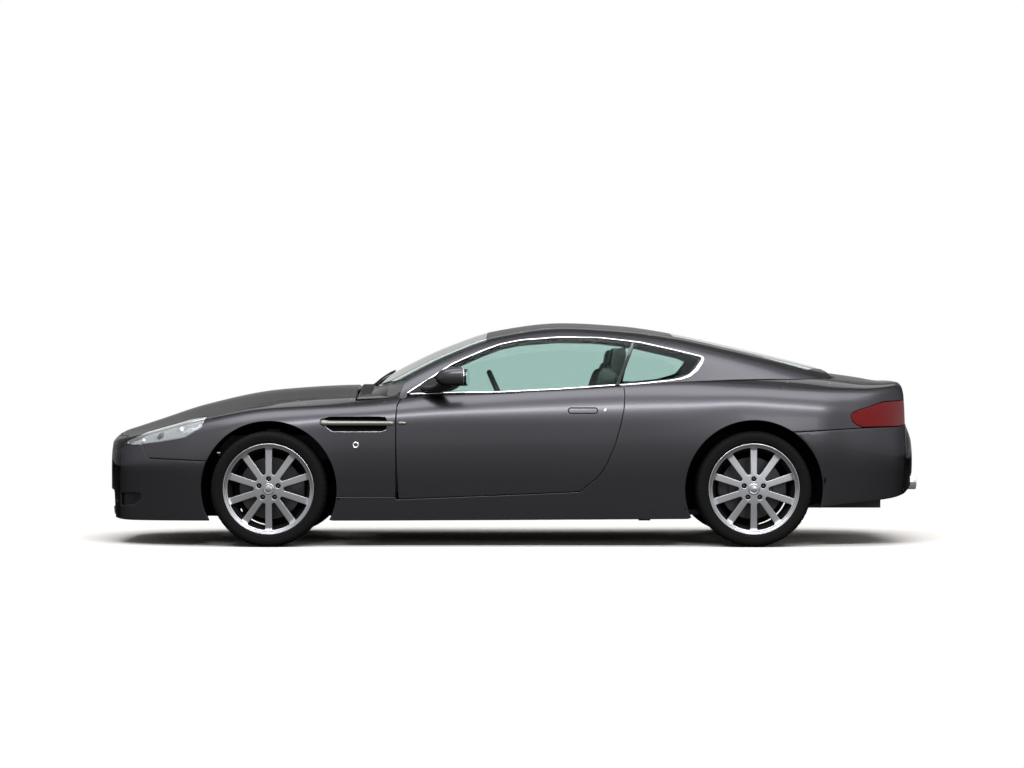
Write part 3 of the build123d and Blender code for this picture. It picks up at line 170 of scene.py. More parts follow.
class Skin:
    """A body skin as a fine table of points over (s, v), both in metres.

    s runs along the car from the nose, and v across it from the crown to the sill, positive on the left.
    The rows' corners are joined along s by a monotone cubic, rounded in each section and then averaged lightly.
    """

    def __init__(self, rows, nose=None, tail=None, side_points=150, step=0.008, blur=3.2, blur_v=1.6):
        table = np.array(rows, float) * MM
        corners = table[:, 2:].reshape(len(table), -1, 2)
        crown = table[:, 1]
        apex_z = corners[:, 0, 1] + (crown - corners[:, 0, 1]) / (1 - FILLET_SHARE / 2)
        corners = np.concatenate([np.stack([0 * crown, apex_z], axis=1)[:, None], corners], axis=1)
        x = table[:, 0]
        path = np.column_stack([x, crown * 0.8, corners[:, 2:4].mean(axis=1)])
        self.row_s = np.concatenate([[0], np.cumsum(np.linalg.norm(np.diff(path, axis=0), axis=1))])
        count = int(self.row_s[-1] / step) + 1
        self.s = np.linspace(0, self.row_s[-1], count)
        flat = np.column_stack([x, corners.reshape(len(x), -1)])
        fine = smooth(monotone_curve(self.row_s, flat, self.s), blur)
        fine_corners = fine[:, 1:].reshape(count, -1, 2)
        curve = smooth(section_curve(fine_corners, side_points), blur_v, axis=1)
        curve[:, 0, 0] = 0
        half = np.concatenate([np.repeat(fine[:, None, :1], side_points, axis=1), curve], axis=2)
        if nose:
            half = np.concatenate([self.closing(half[:1], nose)[::-1], half])
            self.row_s = self.row_s + nose * step
        if tail:
            half = np.concatenate([half, self.closing(half[-1:], tail)])
        self.step = step
        self.s = np.arange(len(half)) * step
        self.half = half
        other = half[:, :0:-1] * np.array([1, -1, 1])
        self.table = np.concatenate([other, half], axis=1)
        self.centre = side_points - 1
        ds = np.gradient(self.table, axis=0)
        dv = np.gradient(self.table, axis=1)
        normal = np.cross(ds, dv)
        length = np.linalg.norm(normal, axis=2, keepdims=True)
        normal /= np.maximum(length, 1e-12)
        faces_up = normal[len(self.s) // 2, self.centre, 2] > 0
        self.normals = normal if faces_up else -normal
        if nose:
            self.normals[:nose] = (1, 0, 0)
        if tail:
            self.normals[len(half) - tail:] = (-1, 0, 0)
        self.v_step = float(np.linalg.norm(np.diff(self.half, axis=1), axis=2).max())

    @staticmethod
    def closing(edge, count):
        """Rows that draw an end section in to the centre line, flat."""
        shares = (np.arange(1, count + 1) / count)[:, None, None]
        target = edge * np.array([1, 0, 1])
        return edge + (target - edge) * shares

    def sample(self, grid, sv):
        """Values of a table at (s, v) pairs, by bilinear weights."""
        r = np.clip(sv[:, 0] / self.step, 0, grid.shape[0] - 1.000001)
        c = np.clip(sv[:, 1] / self.v_step + self.centre, 0, grid.shape[1] - 1.000001)
        i, j = r.astype(int), c.astype(int)
        f, g = (r - i)[:, None], (c - j)[:, None]
        return (
            grid[i, j] * (1 - f) * (1 - g) + grid[i + 1, j] * f * (1 - g)
            + grid[i, j + 1] * (1 - f) * g + grid[i + 1, j + 1] * f * g
        )

    def point(self, sv):
        return self.sample(self.table, sv)

    def normal(self, sv):
        n = self.sample(self.normals, sv)
        return n / np.linalg.norm(n, axis=1, keepdims=True)

    def locate(self, targets, axes, side=1, passes=4, rows=(0, None)):
        """(s, v) of the skin points whose coordinates on two axes match targets, on one side of the car.

        Starts from the nearest table point and improves it by a few Newton steps.
        """
        targets = np.asarray(targets, float)
        lo = self.centre if side >= 0 else 0
        hi = self.table.shape[1] if side >= 0 else self.centre + 1
        first = rows[0]
        coarse = self.table[first:rows[1]:3, lo:hi:3][:, :, axes]
        flat = coarse.reshape(-1, 2)
        nearest = np.array([int(((flat - t) ** 2).sum(1).argmin()) for t in targets])
        i, j = np.divmod(nearest, coarse.shape[1])
        i, j = i * 3 + first, j * 3 + lo - self.centre
        sv = np.column_stack([i * self.step, j * self.v_step]).astype(float)
        for _ in range(passes):
            here = self.point(sv)[:, axes]
            h = 0.4 * self.step
            ds = (self.point(sv + [h, 0])[:, axes] - self.point(sv - [h, 0])[:, axes]) / (2 * h)
            dv = (self.point(sv + [0, h])[:, axes] - self.point(sv - [0, h])[:, axes]) / (2 * h)
            det = ds[:, 0] * dv[:, 1] - ds[:, 1] * dv[:, 0]
            det = np.where(np.abs(det) < 1e-3, np.where(det < 0, -1e-3, 1e-3), det)
            e = targets - here
            move = np.column_stack([(e[:, 0] * dv[:, 1] - e[:, 1] * dv[:, 0]) / det,
                                    (ds[:, 0] * e[:, 1] - ds[:, 1] * e[:, 0]) / det])
            sv = sv + np.clip(move, -0.03, 0.03)
            sv[:, 0] = np.clip(sv[:, 0], 0, self.s[-1])
            if side > 0:
                sv[:, 1] = np.maximum(sv[:, 1], 0)
        return sv


LOWER = Skin(LOWER_ROWS, nose=16, tail=16)
UPPER = Skin(GREENHOUSE_ROWS)


# ------------------------------------------------------------------ mesh helpers
def mesh_object(name, verts, faces, loop_normals=None, material_index=None, materials=()):
    """A mesh from whole arrays: vertices (n, 3), face tuples, and optional normals for every corner."""
    mesh = bpy.data.meshes.new(name)
    mesh.from_pydata(np.asarray(verts).tolist(), [], [tuple(int(i) for i in f) for f in faces])
    for material in materials:
        mesh.materials.append(material)
    if material_index is not None:
        mesh.polygons.foreach_set("material_index", np.asarray(material_index, dtype=np.int32))
    mesh.polygons.foreach_set("use_smooth", np.ones(len(mesh.polygons), dtype=bool))
    mesh.validate(clean_customdata=False)
    if loop_normals is not None and len(loop_normals) == len(mesh.loops):
        mesh.normals_split_custom_set(np.asarray(loop_normals).tolist())
    mesh.update()
    obj = bpy.data.objects.new(name, mesh)
    bpy.context.scene.collection.objects.link(obj)
    return obj


def inside(points, loop):
    """Even-odd test of many points against one closed loop."""
    x, y = points[:, 0][:, None], points[:, 1][:, None]
    x0, y0 = loop[:, 0][None], loop[:, 1][None]
    x1, y1 = np.roll(loop[:, 0], -1)[None], np.roll(loop[:, 1], -1)[None]
    crosses = (y0 > y) != (y1 > y)
    with np.errstate(divide="ignore", invalid="ignore"):
        at = x0 + (y - y0) * (x1 - x0) / (y1 - y0)
    return (np.sum(crosses & (x < at), axis=1) % 2) == 1


def resample(loop, pitch, closed=True):
    """Points along a loop no more than pitch apart, keeping its own corners."""
    loop = np.asarray(loop, float)
    ends = np.roll(loop, -1, axis=0) if closed else loop[1:]
    starts = loop if closed else loop[:-1]
    parts = []
    for a, b in zip(starts, ends):
        n = max(1, int(np.ceil(np.linalg.norm(b - a) / pitch)))
        parts.append(a + (b - a) * (np.arange(n) / n)[:, None])
    if not closed:
        parts.append(loop[-1:])
    return np.concatenate(parts)


def rounded(loop, radius, steps=5, closed=True):
    """A loop with its corners turned into curves of up to a given radius: one number, or one a corner."""
    loop = np.asarray(loop, float)
    n = len(loop)
    radii = np.broadcast_to(np.asarray(radius, float), (n,))
    out = []
    for i in range(n):
        if not closed and i in (0, n - 1):
            out.append(loop[i][None])
            continue
        a, b, c = loop[i - 1], loop[i], loop[(i + 1) % n]
        la, lc = np.linalg.norm(a - b), np.linalg.norm(c - b)
        ua, uc = (a - b) / la, (c - b) / lc
        cosine = np.clip(np.dot(ua, uc), -1, 1)
        half = math.acos(cosine) / 2
        cut = min(radii[i] / max(math.tan(half), 1e-6), 0.48 * la, 0.48 * lc)
        if cut < 1e-6 or half > math.pi / 2 - 0.01:
            out.append(b[None])
            continue
        t = np.linspace(0, 1, steps)[:, None]
        p, q = b + ua * cut, b + uc * cut
        out.append((1 - t) ** 2 * p + 2 * t * (1 - t) * b + t * t * q)
    return np.concatenate(out)


def moved_in(loop, amount):
    """A closed loop of (a, b) points drawn in by an amount (out, when negative)."""
    loop = np.asarray(loop, float)
    before, after = np.roll(loop, 1, axis=0), np.roll(loop, -1, axis=0)
    area = np.sum(loop[:, 0] * after[:, 1] - after[:, 0] * loop[:, 1])
    turn = 1 if area > 0 else -1

    def edge_normal(a, b):
        d = b - a
        d = d / np.maximum(np.linalg.norm(d, axis=1, keepdims=True), 1e-12)
        return np.column_stack([d[:, 1], -d[:, 0]]) * turn

    n1, n2 = edge_normal(before, loop), edge_normal(loop, after)
    m = n1 + n2
    m /= np.maximum(np.linalg.norm(m, axis=1, keepdims=True), 1e-9)
    reach = amount / np.maximum((m * n1).sum(1, keepdims=True), 0.4)
    return loop - m * reach


def signed_area(loop):
    after = np.roll(loop, -1, axis=0)
    return 0.5 * np.sum(loop[:, 0] * after[:, 1] - after[:, 0] * loop[:, 1])


def triangulated(loops, pitch, edge_pitch):
    """Points and triangles that fill the first loop around the others, on a staggered grid."""
    loops = [resample(loop, edge_pitch) for loop in loops]
    loops = [loop if (signed_area(loop) > 0) == (k == 0) else loop[::-1] for k, loop in enumerate(loops)]
    outer, holes = loops[0], loops[1:]

    def kept(points):
        good = inside(points, outer)
        for hole in holes:
            good &= ~inside(points, hole)
        return good

    low, high = outer.min(0), outer.max(0)
    rows = np.arange(low[0] + pitch * 0.5, high[0], pitch * 0.87)
    cols = np.arange(low[1], high[1], pitch)
    a, b = np.meshgrid(rows, cols, indexing="ij")
    b = b + np.where(np.arange(len(rows)) % 2 == 0, 0, pitch / 2)[:, None]
    grid = np.column_stack([a.ravel(), b.ravel()])
    grid = grid[kept(grid)]
    border = np.concatenate(loops)
    near = np.full(len(grid), np.inf)
    for start in range(0, len(border), 400):
        part = border[start:start + 400]
        near = np.minimum(near, np.sqrt(((grid[:, None] - part[None]) ** 2).sum(2)).min(1))
    grid = grid[near > edge_pitch * 0.75]
    edges, start = [], 0
    for loop in loops:
        index = np.arange(start, start + len(loop))
        edges.append(np.column_stack([index, np.roll(index, -1)]))
        start += len(loop)
    points = np.concatenate([border, grid])
    out = delaunay_2d_cdt(points.tolist(), np.concatenate(edges).tolist(), [], 2 if holes else 1, 1e-7)
    flat = np.array([tuple(v) for v in out[0]])
    faces = np.array([f for f in out[2] if len(f) == 3])
    faces = faces[kept(flat[faces].mean(1))]
    corner = flat[faces]
    clockwise = np.cross(corner[:, 1] - corner[:, 0], corner[:, 2] - corner[:, 0]) < 0
    faces[clockwise] = faces[clockwise][:, ::-1]
    return flat, faces


def unit(vectors, least=1e-9):
    return vectors / np.maximum(np.linalg.norm(vectors, axis=1, keepdims=True), least)


def shell(name, skin, loops, thick, materials, roll=0.003, lift=0.0, pitch=0.02, edge_pitch=0.010):
    """A closed panel cut from a skin: loops of (s, v) bound it, the first outside and the others its holes.

    The panel's outer face is the skin itself, triangulated between the loops. Its edge turns down through a
    quarter circle of radius roll and runs along the inward normal for the panel's thickness. Its inner face
    is the skin moved in by that thickness. The second material, if given, is the inner face's.
    """
    flat, faces = triangulated(loops, pitch, edge_pitch)
    normal = skin.normal(flat)
    base = skin.point(flat) + normal * lift
    on_plane = np.abs(base[:, 1]) < 2e-5
    base[on_plane, 1] = 0
    normal[on_plane, 1] = 0
    normal = unit(normal)
    tri = base[faces]
    if (np.cross(tri[:, 1] - tri[:, 0], tri[:, 2] - tri[:, 0]) * normal[faces[:, 0]]).sum() < 0:
        faces = faces[:, ::-1]
    # the boundary's edges are those that no other face uses the other way round
    directed = np.concatenate([faces[:, [0, 1]], faces[:, [1, 2]], faces[:, [2, 0]]])
    key = directed[:, 0] * (len(flat) + 1) + directed[:, 1]
    back = directed[:, 1] * (len(flat) + 1) + directed[:, 0]
    rim = directed[~np.isin(key, back)]
    rim = rim[~(on_plane[rim[:, 0]] & on_plane[rim[:, 1]])]
    outward = np.cross(base[rim[:, 1]] - base[rim[:, 0]], normal[rim[:, 0]])
    out_dir = np.zeros_like(base)
    np.add.at(out_dir, rim[:, 0], outward)
    np.add.at(out_dir, rim[:, 1], outward)
    out_dir[on_plane, 1] = 0
    on_rim = np.zeros(len(flat), bool)
    on_rim[rim.ravel()] = True
    rim_ids, free = np.flatnonzero(on_rim), np.flatnonzero(~on_rim)
    down = normal[rim_ids]
    out = out_dir[rim_ids]
    out = unit(out - down * (out * down).sum(1, keepdims=True), 1e-12)
    edge = base[rim_ids].copy()
    base_top = base.copy()
    base_top[rim_ids] = edge - out * roll
    verts, normals, rings = [base_top], [normal], [rim_ids]
    count = len(flat)
    for degrees in (30, 60, 90):
        turn = math.radians(degrees)
        verts.append(edge - out * roll + out * roll * math.sin(turn) - down * roll * (1 - math.cos(turn)))
        normals.append(out * math.sin(turn) + down * math.cos(turn))
        rings.append(count + np.arange(len(rim_ids)))
        count += len(rim_ids)
    verts.append(edge - down * thick)
    normals.append(out)
    rings.append(count + np.arange(len(rim_ids)))
    count += len(rim_ids)
    inner = np.full(len(flat), -1)
    inner[rim_ids] = rings[-1]
    inner[free] = count + np.arange(len(free))
    verts.append(base[free] - normal[free] * thick)
    normals.append(-normal[free])
    verts, normals = np.concatenate(verts), np.concatenate(normals)
    index_of = np.full(len(flat), -1)
    index_of[rim_ids] = np.arange(len(rim_ids))
    a, b = index_of[rim[:, 0]], index_of[rim[:, 1]]
    quads = np.concatenate([
        np.column_stack([upper[b], upper[a], lower[a], lower[b]]) for upper, lower in zip(rings, rings[1:])
    ])
    every = [tuple(f) for f in faces] + [tuple(f) for f in quads] + [tuple(f) for f in inner[faces][:, ::-1]]
    corners = [normals[faces].reshape(-1, 3), normals[quads].reshape(-1, 3),
               -normal[faces][:, ::-1].reshape(-1, 3)]
    group = np.zeros(len(every), int)
    if len(materials) > 1:
        group[len(faces) + len(quads):] = 1
    return mesh_object(name, verts, every, np.concatenate(corners), group, materials)


def both(obj_maker, name, body, *args, **kwargs):
    """Makes a left-hand piece and its mirror image; body is the pair of body names."""
    left = obj_maker(name + "_left", *args, **kwargs)
    right = mirrored(left, name + "_right")
    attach(left, body[0])
    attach(right, body[1])
    return left, right


def read(mesh):
    """Whole arrays of a mesh: its vertices, then the first corner and corner count of each face.

    After them come the vertex and the normal of each corner, and the material index of each face.
    """
    co = np.zeros(len(mesh.vertices) * 3, np.float32)
    starts, totals, group = (np.zeros(len(mesh.polygons), np.int32) for _ in range(3))
    corner = np.zeros(len(mesh.loops), np.int32)
    normals = np.zeros(len(mesh.loops) * 3, np.float32)
    mesh.vertices.foreach_get("co", co)
    mesh.polygons.foreach_get("loop_start", starts)
    mesh.polygons.foreach_get("loop_total", totals)
    mesh.polygons.foreach_get("material_index", group)
    mesh.loops.foreach_get("vertex_index", corner)
    mesh.corner_normals.foreach_get("vector", normals)
    return co.reshape(-1, 3), starts, totals, corner, normals.reshape(-1, 3), group


def turned_round(starts, totals):
    """The order of a mesh's corners once each face runs the other way."""
    return np.concatenate([np.arange(s + t - 1, s - 1, -1) for s, t in zip(starts, totals)])


ACROSS = np.array([1, -1, 1])


def mirrored(obj, name):
    """A mirror image of a piece across the car's centre plane, its faces turned to point outwards again."""
    mesh = obj.data
    co, starts, totals, corner, normals, group = read(mesh)
    faces = [tuple(corner[s:s + t][::-1]) for s, t in zip(starts, totals)]
    normals = (normals * ACROSS)[turned_round(starts, totals)]
    return mesh_object(name, co * ACROSS, faces, normals, group, list(mesh.materials))


def whole(obj, name):
    """Joins a left half to its mirror image along the centre plane, sharing the vertices that lie on it."""
    mesh = obj.data
    co, starts, totals, corner, normals, group = read(mesh)
    on_plane = np.abs(co[:, 1]) < 1e-6
    co[on_plane, 1] = 0
    twin = np.where(on_plane, np.arange(len(co)), len(co) + np.cumsum(~on_plane) - 1)
    normals[on_plane[corner], 1] = 0
    normals = unit(normals)
    faces = [tuple(corner[s:s + t]) for s, t in zip(starts, totals)]
    faces += [tuple(twin[corner[s:s + t]][::-1]) for s, t in zip(starts, totals)]
    verts = np.concatenate([co, co[~on_plane] * ACROSS])
    normals = np.concatenate([normals, normals[turned_round(starts, totals)] * ACROSS])
    result = mesh_object(name, verts, faces, normals, np.concatenate([group, group]), list(mesh.materials))
    bpy.data.objects.remove(obj)
    return result


def side(points, skin=LOWER):
    """(s, v) on a skin of side-view points (x, z) in millimetres."""
    return skin.locate(np.asarray(points, float) * MM, [0, 2])


def arc(cx, cz, radius, start, end, count=40):
    """Points of an arc in a view, angles in degrees from the first axis."""
    a = np.radians(np.linspace(start, end, count))
    return np.column_stack([cx + radius * np.cos(a), cz + radius * np.sin(a)])


# ------------------------------------------------------------------ materials
def material(name, colour, metallic=0.0, roughness=0.5, **inputs):
    """A plain principled surface; other sockets come as keyword arguments, with underscores for spaces."""
    mat = bpy.data.materials.new(name)
    mat.use_nodes = True
    node = mat.node_tree.nodes["Principled BSDF"]
    node.inputs["Base Color"].default_value = (*colour, 1)
    node.inputs["Metallic"].default_value = metallic
    node.inputs["Roughness"].default_value = roughness
    for key, value in inputs.items():
        node.inputs[key.replace("_", " ")].default_value = value
    return mat


def add_node(tree, kind, operation=None, **inputs):
    """A shader node with its input values, and its operation if it has one."""
    node = tree.nodes.new("ShaderNode" + kind)
    if operation:
        node.operation = operation
    for key, value in inputs.items():
        node.inputs[key.replace("_", " ")].default_value = value
    return node


def add_noise_bump(mat, scale, strength, distance):
    """Fine relief from object coordinates."""
    tree = mat.node_tree
    coord = add_node(tree, "TexCoord")
    noise = add_node(tree, "TexNoise", Scale=scale, Detail=3.0)
    bump = add_node(tree, "Bump", Strength=strength, Distance=distance)
    tree.links.new(coord.outputs["Object"], noise.inputs["Vector"])
    tree.links.new(noise.outputs["Fac"], bump.inputs["Height"])
    tree.links.new(bump.outputs["Normal"], tree.nodes["Principled BSDF"].inputs["Normal"])


def add_flake(mat):
    """Metallic grain: the roughness wanders between two values."""
    tree = mat.node_tree
    coord = add_node(tree, "TexCoord")
    flake = add_node(tree, "TexNoise", Scale=900, Detail=1)
    ramp = add_node(tree, "MapRange", From_Min=0.35, From_Max=0.65, To_Min=0.29, To_Max=0.41)
    tree.links.new(coord.outputs["Object"], flake.inputs["Vector"])
    tree.links.new(flake.outputs["Fac"], ramp.inputs["Value"])
    tree.links.new(ramp.outputs["Result"], tree.nodes["Principled BSDF"].inputs["Roughness"])


PAINT = material("paint", (0.060, 0.059, 0.066), 1.0, 0.33, Specular_Tint=(0.06, 0.06, 0.07, 1),
                 Coat_Weight=0.22, Coat_Roughness=0.05, Coat_IOR=1.30)
# black for real trim, and painted shade on the faces hidden under the covers, seen in the shut lines; also the
# covers' inner faces
BLACK = material("black_trim", (0.008, 0.008, 0.009), 0.0, 0.50, Specular_IOR_Level=0.15)
GLOSS_BLACK = material("gloss_black", (0.010, 0.010, 0.011), 0.0, 0.12)
LINER = material("wheel_liner", (0.004, 0.004, 0.004), 0.0, 0.9, Specular_IOR_Level=0.1)
CHROME = material("chrome", (0.78, 0.79, 0.80), 1.0, 0.12)
GLASS = material("tinted_glass", (0.57, 0.71, 0.68), 0.0, 0.0, IOR=1.12, Transmission_Weight=1.0)
SCREEN_GLASS = material("dark_glass", (0.10, 0.17, 0.145), 0.0, 0.0, IOR=1.15, Transmission_Weight=1.0)
LENS = material("lamp_lens", (0.92, 0.95, 0.96), 0.0, 0.02, IOR=1.45, Transmission_Weight=1.0)
RED = material("red_lens", (0.115, 0.001, 0.002), 0.0, 0.16, IOR=1.25, Coat_Weight=0.12, Coat_Roughness=0.02)
ALLOY = material("alloy", (0.36, 0.37, 0.39), 1.0, 0.30)
# near-black painted shade in place of the alloy of the rim's barrel and the backs of its spokes; the hub's back
# and the dust shields wear it too
RIM_INSIDE_SHADE = material("rim_inside", (0.004, 0.004, 0.004), 0.0, 0.7, Specular_IOR_Level=0.1)
REFLECTOR = material("lamp_reflector", (0.42, 0.43, 0.45), 1.0, 0.26)
STRAKE_METAL = material("strake_metal", (0.13, 0.125, 0.115), 1.0, 0.34)
DARK_METAL = material("dark_metal", (0.05, 0.05, 0.052), 0.8, 0.5)
# brake discs darkened well below bright steel: painted shade, as they sit in the dark behind the spokes
DISC_STEEL_SHADED = material("disc_steel", (0.055, 0.055, 0.058), 0.9, 0.42)
TYRE = material("tyre_rubber", (0.004, 0.004, 0.004), 0.0, 0.75, Specular_IOR_Level=0.10)
TRIM = material("cabin_trim", (0.030, 0.028, 0.028), 0.0, 0.7)
LEATHER = material("leather", (0.050, 0.045, 0.043), 0.0, 0.48)
UNDER = material("underseal", (0.02, 0.02, 0.021), 0.0, 0.7)
add_flake(PAINT)
add_noise_bump(LINER, 220, 0.25, 0.001)
add_noise_bump(TYRE, 400, 0.15, 0.0006)
add_noise_bump(LEATHER, 260, 0.3, 0.0008)

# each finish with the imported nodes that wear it, or the first words of their names
FINISHES = (
    (PAINT, "bodyshell roof bonnet boot_lid front_bumper rear_bumper wing_ door_left door_right mirror_"),
    (GLASS, "door_glass_ windscreen rear_window quarter_glass"),
    (LENS, "headlamps"),
    (RED, "tail_lamps"),
    (CHROME, "grille"),
    (BLACK, "side_vents wipers"),
    (UNDER, "floor"),
    (TRIM, "dashboard steering_wheel"),
    (LEATHER, "seats"),
    (DARK_METAL, "engine driveline exhaust front_suspension rear_suspension knuckle_"),
    (TYRE, "tyre_"),
    (ALLOY, "rim_"),
    (DISC_STEEL_SHADED, "brake_disc_"),
)
for mat, starts in FINISHES:
    for name, node in NODES.items():
        if name.startswith(tuple(starts.split())):
            node.data.materials.clear()
            node.data.materials.append(mat)

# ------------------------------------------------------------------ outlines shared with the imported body
DOOR = [
    (586, 869), (589, 860), (620, 839), (640, 801), (646, 726), (646, 586), (641, 424), (633, 273),
    (-111, 303), (-388, 316), (-435, 354), (-478, 386), (-515, 429), (-543, 478), (-585, 575),
    (-616, 683), (-636, 774), (-643, 853), (-634, 921), (-598, 921), (-280, 898), (61, 881), (311, 877),
]
DOOR_GLASS = [
    (585, 869), (311, 877), (61, 881), (-280, 898), (-598, 921), (-694, 1161),
    (-513, 1182), (-283, 1185), (-53, 1168), (62, 1144), (177, 1101), (336, 1030),
]
QUARTER_GLASS = [
    (-618, 921), (-734, 929), (-905, 946), (-1020, 978), (-1093, 1074), (-970, 1104), (-742, 1156),
    (-712, 1159),
]
HEADLAMP = [
    (2209, 577), (2158, 571), (2007, 593), (1849, 621), (1756, 677), (1733, 734), (1828, 719),
    (1950, 685), (2080, 649), (2157, 613), (2200, 595),
]
BONNET_HALF = [
    (2302, 0), (2298, 150), (2280, 290), (2220, 420), (2165, 460), (2090, 500), (1965, 555), (1840, 600),
    (1740, 630), (1549, 665), (1408, 680), (1170, 700), (983, 715), (886, 720), (896, 400), (902, 0),
]
ROOF_HALF = [(136, 0), (139, 300), (141.7, 480), (-940, 455), (-939, 0)]
WINDSCREEN_HALF = [(804, 0), (795, 250), (745, 480), (670, 620), (600, 678), (143, 563), (139, 300), (136, 0)]
REAR_WINDOW_HALF = [(-939, 0), (-941, 440), (-1721, 487), (-1800, 330), (-1836, 170), (-1847, 0)]
FRONT_ARCH = (1368, 328, 385.2)  # centre x and z, radius
REAR_ARCH = (-1372, 328, 389.2)
# ------------------------------------------------------------------ painted panels
for name in ("bodyshell", "wing_left", "wing_right", "door_left", "door_right", "front_bumper",
             "rear_bumper"):
    node = NODES[name]
    if "custom_normal" in node.data.attributes:
        node.data.attributes.remove(node.data.attributes["custom_normal"])
    node.data.polygons.foreach_set("use_smooth", np.zeros(len(node.data.polygons), dtype=bool))
    node.modifiers.new("weld", "WELD").merge_threshold = 1e-5
    inset = node.modifiers.new("inset", "DISPLACE")
    inset.strength = -0.013
    inset.mid_level = 0.0

WIDE = dict(lift=0.0006, thick=0.014, roll=0.0026)
PANEL = [PAINT, BLACK]
V_END = (LOWER.half.shape[1] - 1) * LOWER.v_step


def chain(*parts):
    """Runs of (s, v) points joined end to end, near repeats dropped."""
    points = np.concatenate([np.atleast_2d(p) for p in parts])
    gap = np.linalg.norm(points - np.roll(points, 1, axis=0), axis=1)
    return points[gap > 5e-4]


def steps(a, b, count=24):
    """Points evenly spaced from a to b."""
    t = np.linspace(0, 1, count)[:, None]
    return np.asarray(a, float) + (np.asarray(b, float) - np.asarray(a, float)) * t


def fine(points, pitch=25):
    """A run of view points in millimetres with extra points no more than a pitch apart."""
    return resample(np.asarray(points, float), pitch, closed=False)


def half_plan(points, skin=LOWER, rows=(0, None)):
    sv = skin.locate(fine(points) * MM, [0, 1], 1, rows=rows)
    at_centre = np.abs(fine(points)[:, 1]) < 0.5
    sv[at_centre, 1] = 0
    return sv


def side_run(points, skin=LOWER, rows=(0, None), pitch=25):
    return skin.locate(fine(points, pitch) * MM, [0, 2], 1, rows=rows)


def grow(loop, amount=0.0008):
    """A loop drawn out by an amount, its centre-line points kept on the centre line."""
    out = moved_in(loop, -amount)
    centre = np.abs(loop[:, 1]) < 1e-9
    out[centre, 1] = 0
    return out


def row_of(skin, x):
    """The number of the table row of a skin at x on the crown, in metres."""
    return int(np.abs(skin.half[:, 0, 0] - x).argmin())


def belt(xs, out=0.0):
    """(s, v) on the lower skin where the greenhouse leaves it at each x, moved outboard by an amount."""
    found = []
    for x in xs:
        low = LOWER.half[row_of(LOWER, x)]
        up = UPPER.half[row_of(UPPER, x)]
        falling = np.maximum.accumulate(-up[:, 2])
        y_up = np.interp(-low[:, 2], falling, up[:, 1])
        clear = (low[:, 1] > y_up) & (low[:, 1] > 0.3)
        k = int(np.argmax(clear))
        found.append([row_of(LOWER, x) * LOWER.step, k * LOWER.v_step + out])
    return smooth(np.array(found), 1.5)


def crown_at(z):
    """s of the tail's centre line at a height in millimetres."""
    tail = LOWER.half[-200:, 0, 2]
    return float(np.interp(-z * MM, -tail, LOWER.s[-200:]))


# bonnet: closes the whole opening, and is thicker than the covers because it opens
bonnet_loop = chain(half_plan(BONNET_HALF, rows=(16, None)))
bonnet = whole(shell("bonnet_half", LOWER, [grow(bonnet_loop)], 0.026, [PAINT, BLACK], roll=0.003),
               "bonnet_skin")
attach(bonnet, "bonnet")
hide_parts("bonnet")

# boot lid: the deck, its lip and the short upright face
rear_from = row_of(LOWER, -2.10)
lid_side = half_plan([(-1860, 0), (-1856, 180), (-1838, 330), (-1850, 400), (-2150, 425), (-2225, 425)])
lid_face = LOWER.locate(fine([(425, 900), (425, 832), (300, 831), (150, 831), (12, 831)]) * MM, [1, 2], 1,
                        rows=(rear_from, None))
lid_end = [crown_at(831), 0]
lid_loop = chain(lid_side, lid_face, [lid_end], steps(lid_end, [lid_side[0, 0], 0], 50)[1:-1])
boot = whole(shell("boot_half", LOWER, [lid_loop], 0.026, [PAINT, BLACK], roll=0.003), "boot_lid_skin")
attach(boot, "boot_lid")
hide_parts("boot_lid")

# roof
roof_loop = half_plan(ROOF_HALF, UPPER)
roof = whole(shell("roof_half", UPPER, [grow(roof_loop, -0.0015)], 0.036, [PAINT, TRIM], roll=0.002),
             "roof_skin")
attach(roof, "body")
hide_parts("roof")

# doors
door_edge = side_run(DOOR[2:18] + [(-641, 888)])
door_top = belt(np.linspace(-0.639, 0.612, 60), 0.004)
door_loop = rounded(chain(door_edge, door_top), 0.012)
DOORS = ("door_left", "door_right")
BODY = ("body", "body")
HANDLE = (-407, 770, 67, 17)  # centre x and z, half the straight run, end radius
handle_turn = np.radians(np.linspace(-90, 90, 13))
handle_end = np.column_stack([np.cos(handle_turn), np.sin(handle_turn)])


def stadium(cx, cz, half_run, radius):
    """A closed outline of two half circles and two straight sides, in the side view."""
    return np.concatenate([[cx + half_run, cz] + radius * handle_end,
                           [cx - half_run, cz] - radius * handle_end])


handle_hole = side(stadium(*HANDLE))
handle_plate = side(stadium(HANDLE[0], HANDLE[1], HANDLE[2], HANDLE[3] - 3.5))
both(shell, "door_skin", DOORS, LOWER, [grow(door_loop), handle_hole], materials=[PAINT, BLACK], **WIDE)
both(shell, "door_handle", DOORS, LOWER, [handle_plate], materials=[PAINT], roll=0.0018, lift=0.0010,
     thick=0.010)
lock_loop = side(arc(-531, 773, 7.5, 0, 345, 24))
both(shell, "door_lock", DOORS, LOWER, [lock_loop], materials=[CHROME], roll=0.0015, lift=0.0022, thick=0.004)

